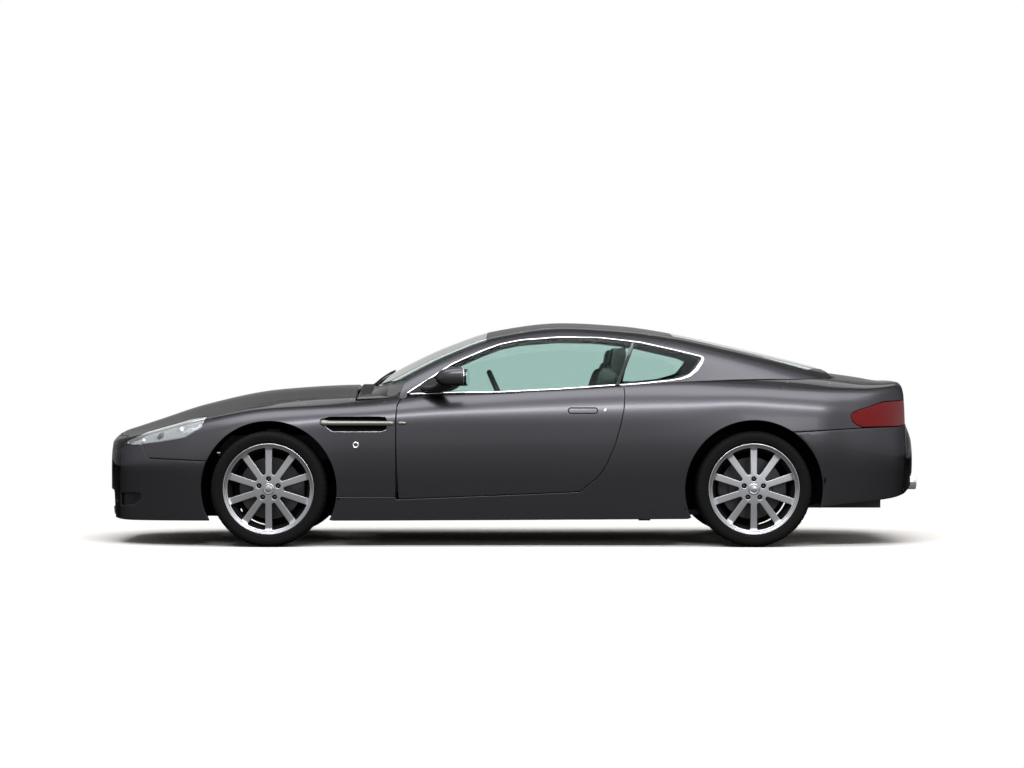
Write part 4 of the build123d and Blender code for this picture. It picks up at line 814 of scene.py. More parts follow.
# front wings
bonnet_edge = [(983, 715), (1170, 700), (1408, 680), (1549, 665), (1740, 630), (1840, 600), (1965, 555),
               (2090, 500),
               (2165, 460), (2216, 424)]
wing_top = half_plan([(x, y + 6) for x, y in bonnet_edge])
wing_front = side_run([(2226, 604), (2214, 580), (2203, 597), (2157, 616), (2080, 652), (1950, 688),
                       (1828, 720), (1733, 737)])
wing_under = side_run([(1733, 737), (1753, 676), (1848, 618), (2007, 590), (2108, 578)])
wing_split = side_run([(2108, 578), (2062, 502), (1712, 488)])
arch_start = math.degrees(math.asin((488 - FRONT_ARCH[1]) / FRONT_ARCH[2]))
front_arch = side(arc(*FRONT_ARCH, arch_start, 187, 90))
wing_foot = side_run([(985.5, 285), (656, 285)])
wing_rear = side_run([(652, 285), (652, 726), (646, 803), (625, 843), (597, 864)], pitch=20)
wing_root = half_plan([(600, 752), (740, 752), (883, 750), (884, 726)])
wing_loop = chain(wing_top, wing_front, wing_under, wing_split, front_arch, wing_foot, wing_rear, wing_root)
VENT = [(1072, 690), (1073, 722), (1020, 736), (751, 736), (708, 733), (700, 714), (700, 690), (703, 664),
        (726, 652),
        (1006, 652), (1036, 671)]
vent_hole = rounded(side(VENT), 0.005)
wings = both(shell, "wing_skin", ("body", "body"), LOWER, [grow(wing_loop), vent_hole], materials=PANEL,
             **WIDE)
for hand, wing in zip(("left", "right"), wings):
    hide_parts("wing_" + hand)

# front bumper: the left half down the nose, mirrored
at_nose = lambda points: LOWER.locate(fine(points) * MM, [1, 2], 1, rows=(0, 60))
bumper_top = half_plan([(2308, 0), (2304, 150), (2286, 290), (2228, 422)], rows=(14, None))
bumper_lamp = side_run([(2226, 601), (2211, 574), (2110, 575), (2060, 497), (1712, 483)])
bumper_arch = side(arc(*FRONT_ARCH, arch_start - 1, -27, 50))
chin = int(np.argmax(LOWER.half[16:160, -1, 1] > 0.455)) + 16
low_s = np.linspace(bumper_arch[-1, 0], LOWER.s[chin], 40)
bumper_foot = np.column_stack([low_s, np.full(40, V_END)])
notch = at_nose([(452, 200), (450, 296), (425, 309), (12, 309)])
mouth = at_nose([(12, 402), (310, 402), (334, 424), (336, 556), (306, 576), (12, 577)])
bumper_loop = chain(
    bumper_top, bumper_lamp, bumper_arch, bumper_foot, notch, [[0, notch[-1, 1]]],
    [[0, mouth[0, 1]]], mouth, [[0, mouth[-1, 1]]], [[0, 0]], [[bumper_top[0, 0], 0]],
)
corner_intake = rounded(side([(2246, 222), (2246, 292), (2168, 300), (2120, 298), (2116, 262), (2160, 232)]),
                        0.008)
bumper = whole(shell("front_bumper_half", LOWER, [bumper_loop, corner_intake], materials=PANEL, **WIDE),
               "front_bumper_skin")
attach(bumper, "body")

# quarter panels and sills
back = row_of(LOWER, -1.60)
foot_front = side(arc(*FRONT_ARCH, 207, 187.5, 16))
sill_edge = side_run([(985, 282), (656, 282), (645, 267), (-111, 297), (-390, 310), (-438, 349), (-482, 382),
                      (-519, 426),
                      (-547, 476), (-589, 573), (-620, 682), (-640, 773), (-647, 853), (-645, 888)])
shoulder_line = belt(np.linspace(-0.645, -1.84, 70), 0.0)
lid_line = half_plan([(-1846, 409), (-1853, 406), (-2150, 431), (-2240, 431)], rows=(back, None))
lid_drop = LOWER.locate(fine([(431, 900), (431, 831)]) * MM, [1, 2], 1, rows=(rear_from, None))
LAMP_FRONT = [(-1962, 769), (-1936, 757), (-1924, 737), (-1934, 711), (-1956, 692), (-1988, 678)]
lamp_top = side_run([(-2255, 829), (-2122, 822)] + [(x + 3, z + 2) for x, z in LAMP_FRONT[:3]],
                    rows=(back, None))
lamp_low = side_run([(x + 3, z - 2) for x, z in LAMP_FRONT[3:]] + [(-1996, 674), (-1625, 654)],
                    rows=(back, None))
rear_arch = side(arc(*REAR_ARCH, 123, -24.5, 110))
sill_s = np.linspace(rear_arch[-1, 0], foot_front[0, 0], 120)
sill_foot = np.column_stack([sill_s, np.full(120, V_END)])
quarter_loop = chain(
    foot_front, sill_edge, shoulder_line, lid_line, lid_drop, lamp_top, lamp_low, rear_arch, sill_foot[1:-1]
)
both(shell, "quarter_skin", ("body", "body"), LOWER, [grow(quarter_loop)], materials=PANEL, **WIDE)

# rear bumper: the left half round the tail, mirrored
rear_split = side_run([(-1625, 648), (-1996, 670), (-2217, 678)], rows=(back, None))
lamp_inner = LOWER.locate(fine([(640, 684), (470, 690), (446, 700), (440, 760), (436, 822), (12, 822)]) * MM,
                          [1, 2], 1,
                          rows=(rear_from, None))
tail_end = LOWER.s[-1]
foot_y = LOWER.half[-120:, -1, 1]


def foot_s(y):
    """s where the tail's foot line is y metres off the centre line."""
    return float(np.interp(-y, -foot_y, LOWER.s[-120:]))


pipe_notch = LOWER.locate(fine([(292, 404), (474, 402), (486, 392), (489, 350)]) * MM, [1, 2], 1,
                          rows=(rear_from, None))
bumper_rear_arch = side(arc(*REAR_ARCH, 196.3, 124.5, 70))
top_s = crown_at(822)
rear_loop = chain(
    rear_split, lamp_inner, [[top_s, 0]], steps([top_s, 0], [tail_end, 0], 30)[1:],
    steps([tail_end, 0], [tail_end, V_END], 30)[1:],
    steps([tail_end, V_END], [foot_s(0.29), V_END], 20)[1:-1], pipe_notch,
    steps([foot_s(0.489), V_END], [bumper_rear_arch[0, 0], V_END], 60), bumper_rear_arch,
)
rear = whole(shell("rear_bumper_half", LOWER, [rear_loop], materials=PANEL, **WIDE), "rear_bumper_skin")
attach(rear, "body")

# pillars and roof rails, with the quarter windows cut out
rail_inner = [(600, 678), (143, 563), (141.7, 481), (-940, 456), (-941, 441), (-1721, 488), (-1797, 341),
              (-1828, 336),
              (-1842, 404), (-1856, 470)]
rail_plan = half_plan(rail_inner, UPPER)
low_line = LOWER.point(belt(np.linspace(-1.80, -0.645, 60)))
rail_low = UPPER.locate(low_line[:, [0, 2]] - [0, 0.022], [0, 2], 1)
rail_door = side_run([(-634, 906), (-600, 921), (-696, 1163), (-513, 1184.5), (-283, 1187.5), (-53, 1170.5),
                      (63, 1146.5), (178, 1103.5),
                      (337, 1032.5), (586, 871), (594, 845), (640, 830)], UPPER)
rail_loop = chain(rail_plan, rail_low, rail_door)
quarter_hole = side_run(QUARTER_GLASS + QUARTER_GLASS[:1], UPPER)[:-1]
both(shell, "rail_skin", ("body", "body"), UPPER, [grow(rail_loop), quarter_hole], materials=PANEL, **WIDE)

# glass
GLAZING = dict(thick=0.005, roll=0.001, lift=0.0)
screen_loop = half_plan(WINDSCREEN_HALF, UPPER)
screen = whole(shell("screen_half", UPPER, [screen_loop], materials=[SCREEN_GLASS], **GLAZING),
               "windscreen_glass")
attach(screen, "body")
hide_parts("windscreen")
rear_pane_loop = half_plan(REAR_WINDOW_HALF, UPPER)
rear_pane = whole(shell("rear_pane_half", UPPER, [rear_pane_loop], materials=[SCREEN_GLASS], **GLAZING),
                  "rear_window_glass")
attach(rear_pane, "body")
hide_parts("rear_window")
pane_loop = rounded(side_run(DOOR_GLASS + DOOR_GLASS[:1], UPPER, pitch=60)[:-1], 0.004)
panes = both(shell, "door_pane", ("door_left", "door_right"), UPPER, [moved_in(pane_loop, 0.0015)],
             materials=[GLASS], **GLAZING)
quarters = both(shell, "quarter_pane", ("body", "body"), UPPER, [moved_in(quarter_hole, 0.0004)],
                materials=[GLASS], **GLAZING)
for hand, pane, quarter in zip(("left", "right"), panes, quarters):
    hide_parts("door_glass_" + hand)
    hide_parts("quarter_glass")

# lamps
lens_loop = rounded(side_run(HEADLAMP + HEADLAMP[:1], pitch=60)[:-1], 0.014)
lenses = both(shell, "headlamp_lens", ("body", "body"), LOWER, [moved_in(lens_loop, 0.0015)], thick=0.003,
              materials=[LENS],
              roll=0.001, lift=0.0)
tail_outline = LAMP_FRONT[2::-1] + [(-2122, 818), (-2258, 827)]
tail_loop = chain(
    side_run(tail_outline, rows=(back, None)),
    LOWER.locate(fine([(442, 824), (446, 762), (452, 702), (475, 692), (640, 686)]) * MM, [1, 2], 1,
                 rows=(rear_from, None)),
    side_run([(-2217, 681), (-1999, 678)] + LAMP_FRONT[:2:-1], rows=(back, None)),
)
tail_lenses = both(shell, "tail_lens", ("body", "body"), LOWER, [moved_in(tail_loop, 0.0008)], thick=0.03,
                   materials=[RED],
                   roll=0.002, lift=0.0)
for lens, tail_lens in zip(lenses, tail_lenses):
    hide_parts("headlamps")
    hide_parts("tail_lamps")


# ------------------------------------------------------------------ swept, turned and gridded pieces
def grid_piece(name, grid, mats, wrap_a=False, wrap_b=True, cap_a=True, index=None):
    """A surface of quads over a grid of points (a, b, 3), either way closed on itself or not.

    Where the first and last rows stay open they may be closed by a fan to their own middle point.
    """
    grid = np.asarray(grid, float)
    na, nb = grid.shape[:2]
    cell = np.arange(na * nb).reshape(na, nb)
    rows = np.arange(na if wrap_a else na - 1)
    cols = np.arange(nb if wrap_b else nb - 1)
    i, j = np.meshgrid(rows, cols, indexing="ij")
    i2, j2 = (i + 1) % na, (j + 1) % nb
    quads = np.stack([cell[i, j], cell[i2, j], cell[i2, j2], cell[i, j2]], axis=-1).reshape(-1, 4)
    verts = grid.reshape(-1, 3)
    faces = quads.tolist()
    if cap_a and not wrap_a:
        middle = np.stack([grid[0].mean(0), grid[-1].mean(0)])
        first, last = na * nb, na * nb + 1
        verts = np.concatenate([verts, middle])
        j = np.arange(nb)
        faces += np.column_stack([cell[0, j], cell[0, (j + 1) % nb], np.full(nb, first)]).tolist()
        faces += np.column_stack([cell[-1, (j + 1) % nb], cell[-1, j], np.full(nb, last)]).tolist()
    obj = mesh_object(name, verts, faces, materials=mats)
    turn_outwards(obj)
    return obj


def turn_outwards(obj):
    """Flips every face of a closed piece whose signed volume comes out negative."""
    mesh = obj.data
    mesh.calc_loop_triangles()
    tri = np.zeros(len(mesh.loop_triangles) * 3, np.int32)
    mesh.loop_triangles.foreach_get("vertices", tri)
    co = np.zeros(len(mesh.vertices) * 3, np.float32)
    mesh.vertices.foreach_get("co", co)
    p = co.reshape(-1, 3).astype(float)[tri.reshape(-1, 3)]
    if np.einsum("ij,ij->i", p[:, 0], np.cross(p[:, 1], p[:, 2])).sum() < 0:
        mesh.flip_normals()


def sweep(name, path, normals, width, height, mats, sink=0.001, closed=False, around=14):
    """A half-round strip along a path on a skin: across it an arch of the given width and height.

    Width and height may vary along the path; the strip's flat side is sunk below the skin by a little.
    """
    path, normals = np.asarray(path, float), np.asarray(normals, float)
    n = len(path)
    width = np.broadcast_to(np.asarray(width, float), (n,))[:, None, None]
    height = np.broadcast_to(np.asarray(height, float), (n,))[:, None, None]
    if closed:
        tangent = np.roll(path, -1, axis=0) - np.roll(path, 1, axis=0)
    else:
        tangent = np.gradient(path, axis=0)
    tangent /= np.maximum(np.linalg.norm(tangent, axis=1, keepdims=True), 1e-9)
    across = np.cross(tangent, normals)
    across /= np.maximum(np.linalg.norm(across, axis=1, keepdims=True), 1e-9)
    a = np.linspace(0, np.pi, around)
    over = np.column_stack([np.cos(a), np.sin(a) ** 0.8])
    u, v = over[:, 0][None, :, None], over[:, 1][None, :, None]
    top = path[:, None] + across[:, None] * u * width / 2 + normals[:, None] * (v * height)
    ends = np.array([-1, 1])[None, :, None]
    low = path[:, None] + across[:, None] * ends * width / 2 - normals[:, None] * sink
    grid = np.concatenate([top, low], axis=1)
    return grid_piece(name, grid, mats, wrap_a=closed)


def on_skin(skin, sv, lift=0.0):
    normals = skin.normal(sv)
    return skin.point(sv) + normals * lift, normals


def even(points, pitch, closed=False):
    """A run of 3-D or (s, v) points at equal spacing along its length."""
    points = np.asarray(points, float)
    if closed:
        points = np.vstack([points, points[:1]])
    length = np.concatenate([[0], np.cumsum(np.linalg.norm(np.diff(points, axis=0), axis=1))])
    count = max(2, int(length[-1] / pitch))
    at = np.linspace(0, length[-1], count + 1)
    if closed:
        at = at[:-1]
    return np.column_stack([np.interp(at, length, points[:, k]) for k in range(points.shape[1])])


def turned(name, centre, axis, profile, mats, around=48, squash=None):
    """A surface of revolution: profile rows are (radius, distance along the axis), both ends closed."""
    axis = np.asarray(axis, float) / np.linalg.norm(axis)
    other = np.array([0.0, 0.0, 1.0]) if abs(axis[2]) < 0.9 else np.array([1.0, 0.0, 0.0])
    e1 = np.cross(axis, other)
    e1 /= np.linalg.norm(e1)
    e2 = np.cross(axis, e1)
    angle = np.linspace(0, 2 * np.pi, around, endpoint=False)
    ring = np.cos(angle)[:, None] * e1 + np.sin(angle)[:, None] * e2
    profile = np.asarray(profile, float)
    grid = np.asarray(centre)[None, None] + profile[:, :1, None] * ring[None] + profile[:, 1:, None] * axis
    return grid_piece(name, grid, mats)


def ring_turned(name, centre, axis, profile, mats, around=64):
    """A closed ring of revolution: the profile (radius, along) is a closed outline."""
    axis = np.asarray(axis, float) / np.linalg.norm(axis)
    other = np.array([0.0, 0.0, 1.0]) if abs(axis[2]) < 0.9 else np.array([1.0, 0.0, 0.0])
    e1 = np.cross(axis, other)
    e1 /= np.linalg.norm(e1)
    e2 = np.cross(axis, e1)
    angle = np.linspace(0, 2 * np.pi, around, endpoint=False)
    ring = np.cos(angle)[:, None] * e1 + np.sin(angle)[:, None] * e2
    profile = np.asarray(profile, float)
    grid = np.asarray(centre)[None, None] + profile[:, :1, None] * ring[None] + profile[:, 1:, None] * axis
    return grid_piece(name, grid, mats, wrap_a=True)


def joined(name, pieces):
    """One object from several, its parts left apart."""
    verts, faces, count = [], [], 0
    for piece in pieces:
        n = len(piece.data.vertices)
        co = np.zeros(n * 3, np.float32)
        piece.data.vertices.foreach_get("co", co)
        verts.append(co.reshape(-1, 3))
        faces += [tuple(i + count for i in face.vertices) for face in piece.data.polygons]
        count += n
    mats = list(pieces[0].data.materials)
    for piece in pieces:
        bpy.data.objects.remove(piece)
    return mesh_object(name, np.concatenate(verts), faces, materials=mats)


def pair(left, body):
    """Sets a left-hand piece and its mirror image on their bodies."""
    right = mirrored(left, left.name.replace("_left", "_right"))
    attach(left, body[0])
    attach(right, body[1])
    return left, right


# ------------------------------------------------------------------ packed faces that show
def dress(node, mats, choose):
    """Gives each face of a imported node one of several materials, chosen from its centre and its normal."""
    mesh = node.data
    n = len(mesh.polygons)
    centre, normal = np.zeros(n * 3, np.float32), np.zeros(n * 3, np.float32)
    mesh.polygons.foreach_get("center", centre)
    mesh.polygons.foreach_get("normal", normal)
    c, m = centre.reshape(-1, 3), normal.reshape(-1, 3)
    mesh.materials.clear()
    for mat in mats:
        mesh.materials.append(mat)
    mesh.polygons.foreach_set("material_index", choose(c[:, 0], np.abs(c[:, 1]), c[:, 2], m).astype(np.int32))
    mesh.update()


def body_face(x, y, z, m):
    """0 black under the covers, painted shade for the shut lines, 1 paint on jambs, 2 cabin trim, 3 wheel
    liner, 4 underseal.
    """
    index = np.zeros(len(x), int)
    jamb = (y > 0.735) & (y < 0.90) & (np.abs(x) < 0.70) & (z > 0.20) & (z < 0.93) & (np.abs(m[:, 1]) < 0.75)
    index[jamb] = 1
    cabin = (y < 0.752) & (x > -1.30) & (x < 0.71) & (z > 0.19)
    index[cabin] = 2
    for axle, radius in ((FRONT_X, 0.404), (REAR_X, 0.408)):
        r = np.hypot(x - axle, z - AXLE_Z)
        well = ((r < radius) | ((z < 0.33) & (np.abs(x - axle) < radius))) & (y > 0.44) & (y < 0.905)
        index[well] = 3
    index[(m[:, 2] < -0.5) & (z < 0.46) & (index == 0)] = 4
    return index


for name in ("bodyshell", "wing_left", "wing_right", "door_left", "door_right", "front_bumper",
             "rear_bumper"):
    dress(NODES[name], [BLACK, PAINT, TRIM, LINER, UNDER], body_face)
for name, node in NODES.items():
    if name.startswith("rim_"):
        top = max(abs(corner[1]) for corner in node.bound_box)

        def rim_face(x, y, z, m, top=top):
            """1 for the barrel and the backs of the spokes, which lie in the dark behind the face and wear
            near-black painted shade.
            """
            return ((y < top - 0.075) | (m[:, 1] * np.sign(y.mean()) < -2)).astype(int)

        dress(node, [ALLOY, RIM_INSIDE_SHADE], rim_face)

# ------------------------------------------------------------------ bright trim and small fittings
top_run = [(590, 868), (336, 1035), (177, 1106), (62, 1149), (-53, 1173), (-283, 1190), (-513, 1187),
           (-742, 1161),
           (-970, 1109), (-1075, 1084), (-1098, 1076), (-1103, 1066), (-1092, 1044), (-1060, 1000),
           (-1024, 971),
           (-975, 952), (-905, 940), (-734, 923), (-618, 915)]
top_sv = even(rounded(side_run(top_run, UPPER, pitch=200), 0.03, closed=False), 0.010)
top_path, top_normal = on_skin(UPPER, top_sv)
broad = np.exp(-((top_path[:, 0] + 1.055) / 0.055) ** 2) * (top_path[:, 2] < 1.075)
strip_width = 0.008 + 0.013 * smooth(broad, 3)
pair(sweep("window_strip_left", top_path, top_normal, strip_width, 0.0032, [CHROME]), BODY)
low_run = [(575, 864), (311, 872), (61, 876), (-280, 893), (-596, 915)]
low_path, low_normal = on_skin(UPPER, even(side_run(low_run, UPPER, pitch=100), 0.012))
pair(sweep("belt_strip_left", low_path, low_normal, 0.008, 0.0032, [CHROME]), DOORS)
pillar_loop = side_run([(-600, 922), (-616, 922), (-710, 1158), (-695, 1160), (-600, 922)], UPPER)[:-1]
both(shell, "b_pillar_cover", BODY, UPPER, [pillar_loop], materials=[GLOSS_BLACK], roll=0.001, lift=0.0016,
     thick=0.006)
sail_loop = rounded(side_run([(576, 874), (400, 877), (392, 905), (440, 960), (470, 949), (576, 874)],
                             UPPER)[:-1], 0.006)
both(shell, "mirror_sail", DOORS, UPPER, [sail_loop], materials=[BLACK], roll=0.002, lift=0.0035, thick=0.010)

# dark recess behind the side vent
recess = rounded(side([(1078, 640), (1078, 746), (690, 746), (690, 640)]), 0.005)
both(shell, "vent_recess", BODY, LOWER, [recess], materials=[LINER], roll=0.001, lift=-0.024, thick=0.003)

# strake through the side vent and over the door's front edge, with the vent's thin bright lower lip
for name, run, body in (("strake_left", [(1078, 705), (1018, 700), (656, 698)], BODY),
                        ("door_strake_left", [(640, 699), (584, 700)], DOORS)):
    line = even(side_run(run, pitch=30), 0.010)
    path3, normal3 = on_skin(LOWER, line)
    share = np.arange(len(line)) * 0.010
    taper = np.minimum(1, 0.35 + 0.65 * np.minimum(share, share[-1] - share) / 0.012)
    wide = np.interp(path3[:, 0], [0.584, 0.66, 1.02, 1.07], [0.017, 0.026, 0.027, 0.034])
    pair(sweep(name, path3, normal3, wide * taper, 0.0065 * taper, [STRAKE_METAL], sink=0.006), body)
lip_run = [(1052, 688), (1034, 671), (1006, 651), (728, 651), (702, 663)]
path3, normal3 = on_skin(LOWER, even(rounded(side_run(lip_run, pitch=400), 0.012, closed=False), 0.008))
pair(sweep("vent_lip_left", path3, normal3, 0.0035, 0.0016, [REFLECTOR], sink=0.003), BODY)

# round side repeater
place, direction = on_skin(LOWER, side([(874, 577)]))
pair(ring_turned("repeater_ring_left", place[0], direction[0],
                 [(0.0185, -0.001), (0.0180, 0.0025), (0.0150, 0.0040), (0.0105, 0.0036), (0.0100, -0.001)],
                 [CHROME]), BODY)
pair(turned("repeater_lens_left", place[0], direction[0],
            [(0.0001, 0.0042), (0.005, 0.0038), (0.0095, 0.0022), (0.0104, 0.0002), (0.0104, -0.001),
             (0.0001, -0.001)],
            [GLOSS_BLACK]), BODY)

# headlamp bowl, projector, main beam and side lamp behind the lens
bowl_loop = moved_in(lens_loop, 0.004)
both(shell, "headlamp_bowl", BODY, LOWER, [bowl_loop], materials=[REFLECTOR], roll=0.001, lift=-0.016,
     thick=0.003)
for name, spot, radius, deep, mat in (("headlamp_projector_left", (2018, 632), 0.030, -0.004, GLOSS_BLACK),
                                      ("headlamp_beam_left", (1900, 672), 0.028, -0.004, REFLECTOR),
                                      ("side_lamp_left", (2120, 603), 0.016, -0.004, CHROME)):
    place, direction = on_skin(LOWER, side([spot]), deep)
    aim = direction[0] * 0.75 + np.array([0.66, 0, 0.1])
    profile = [(0.0001, 0.0), (radius * 0.5, -radius * 0.10), (radius * 0.86, -radius * 0.34),
               (radius, -radius * 0.62),
               (radius * 1.02, -radius * 1.1), (radius * 0.8, -radius * 1.3), (0.0001, -radius * 1.3)]
    pair(turned(name, place[0] - direction[0] * 0.004, aim, profile, [mat], 36), BODY)

# bright exhaust tips round the pipes' ends
for label, y in (("inner", 0.340), ("outer", 0.430)):
    tip = [(0.0395, 0.0), (0.0420, 0.004), (0.0425, 0.060), (0.0425, 0.100), (0.0412, 0.1045),
           (0.0388, 0.1045),
           (0.0376, 0.100), (0.0370, 0.040), (0.0370, 0.0)]
    pair(ring_turned("exhaust_tip_%s_left" % label, (-2.2468, y, 0.352), (-1, 0, 0), tip, [CHROME]), BODY)


# ------------------------------------------------------------------ cowl between the bonnet and the screen
cowl_loop = half_plan([(876, 0), (872, 400), (866, 590), (690, 592), (740, 470), (790, 240), (797, 0)])
cowl = whole(shell("cowl_half", LOWER, [cowl_loop], materials=[LINER], lift=0.002, thick=0.006, roll=0.001),
             "cowl_grille")
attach(cowl, "body")
cowl_side = half_plan([(877, 596), (876, 715), (735, 744), (604, 744), (606, 672), (672, 618), (690, 596)])
both(shell, "cowl_panel", BODY, LOWER, [cowl_side], materials=[PAINT], lift=0.003, thick=0.006, roll=0.0015)


# ------------------------------------------------------------------ wheels and tyres
class Dish:
    """A wheel's face over (a, b), the offsets from the axle, its depth a function of radius."""

    def __init__(self, x, y, depth):
        self.x, self.y, self.depth = x, y, depth

    def point(self, ab):
        r = np.hypot(ab[:, 0], ab[:, 1])
        return np.column_stack([self.x + ab[:, 0], self.y + self.depth(r), AXLE_Z + ab[:, 1]])

    def normal(self, ab):
        r = np.hypot(ab[:, 0], ab[:, 1])
        h = 1e-4
        slope = (self.depth(r + h) - self.depth(np.maximum(r - h, 0))) / (2 * h)
        away = ab / np.maximum(r, 1e-9)[:, None]
        n = np.column_stack([-slope * away[:, 0], np.ones(len(ab)), -slope * away[:, 1]])
        return n / np.linalg.norm(n, axis=1, keepdims=True)


SPOKES = 10
SPOKE_HALF = 0.0185
WINDOW_TOP = 0.2315


def window(turn):
    """The opening between two spokes: straight along each, round at the hub end, an arc at the rim end."""
    half = math.pi / SPOKES
    outer = np.linspace(-1, 1, 9) * (half - math.asin(SPOKE_HALF * 1.08 / WINDOW_TOP))
    rim_end = WINDOW_TOP * np.column_stack([np.cos(outer), np.sin(outer)])
    foot = 0.083
    reach = SPOKE_HALF * 0.98
    # a spoke's edge, at an offset from the spoke's own line, which is turned by half a pitch
    along = np.array([math.cos(half), math.sin(half)])
    beside = np.array([math.sin(half), -math.cos(half)])
    low = along * foot + beside * reach
    loop = np.concatenate([rim_end, [low], [low * np.array([1, -1])]])
    loop = rounded(loop, [0.004] + [0.0] * 7 + [0.004, 0.009, 0.009], steps=4)
    cos, sin = math.cos(turn), math.sin(turn)
    return loop @ np.array([[cos, sin], [-sin, cos]])


def face_depth(r):
    """Spokes lean out a little toward the hub and step up to the rim just inside it."""
    up = np.clip((r - 0.222) / 0.020, 0, 1)
    return 0.003 * np.cos(np.minimum(r, 0.24) * math.pi / 0.24) + 0.007 * up * up * (3 - 2 * up)


circle = lambda cx, cy, radius, count: np.column_stack([
    cx + radius * np.cos(np.linspace(0, 2 * np.pi, count, endpoint=False)),
    cy + radius * np.sin(np.linspace(0, 2 * np.pi, count, endpoint=False))])


def tyre_section(half, bead):
    """Right half of a tyre's outside as (radius, y), centre of the tread to the bead, with four grooves."""
    tread = np.linspace(0, half - 0.020, 34)
    r = 0.3278 - 0.0045 * (tread / half) ** 2 - 0.0015 * (tread / half) ** 6
    for centre in (0.018, 0.056):
        r -= 0.0065 * (1 / (1 + np.exp(-(0.0048 - np.abs(tread - centre)) / 0.0006)))
    wall = np.array([(0.3200, half - 0.0125), (0.3130, half - 0.0055), (0.3040, half - 0.0018),
                     (0.2930, half - 0.0006),
                     (0.2800, half - 0.0022), (0.2740, half - 0.0042), (0.2715, half - 0.0030),
                     (0.2695, half - 0.0060),
                     (0.2640, bead + 0.0120), (0.2595, bead + 0.0100)])
    return np.vstack([np.column_stack([r, tread]), wall])


def tyre_piece(name, x, y, half, bead):
    """A tyre turned about its axle; blocks are cut into the tread's outer ribs by a wave round the tyre."""
    outside = tyre_section(half, bead)
    left = outside[:0:-1] * np.array([1, -1])
    inner = np.array([(0.2500, bead - 0.004), (0.2500, bead - 0.014), (0.2700, half - 0.018),
                      (0.3050, half - 0.022),
                      (0.3120, 0.030), (0.3120, -0.030), (0.3050, -half + 0.022), (0.2700, -half + 0.018),
                      (0.2500, -bead + 0.014), (0.2500, -bead + 0.004)])
    profile = np.vstack([left, outside, inner])
    turns = np.linspace(0, 2 * np.pi, 300, endpoint=False)
    r = np.repeat(profile[None, :, 0], len(turns), axis=0)
    across = profile[None, :, 1]
    slanted = turns[:, None] * 60 + across * 90 * np.sign(across)
    cut = np.clip((np.cos(slanted) - 0.55) / 0.25, 0, 1)
    rib = (np.abs(across) > 0.062) & (r > 0.3165)
    middle = (np.abs(across) > 0.025) & (np.abs(across) < 0.049) & (r > 0.3165)
    r = r - 0.0045 * cut * rib - 0.0025 * cut * middle
    grid = np.stack([x + r * np.sin(turns)[:, None], np.broadcast_to(y + across, r.shape),
                     AXLE_Z + r * np.cos(turns)[:, None]], axis=-1)
    return grid_piece(name, grid, [TYRE], wrap_a=True)


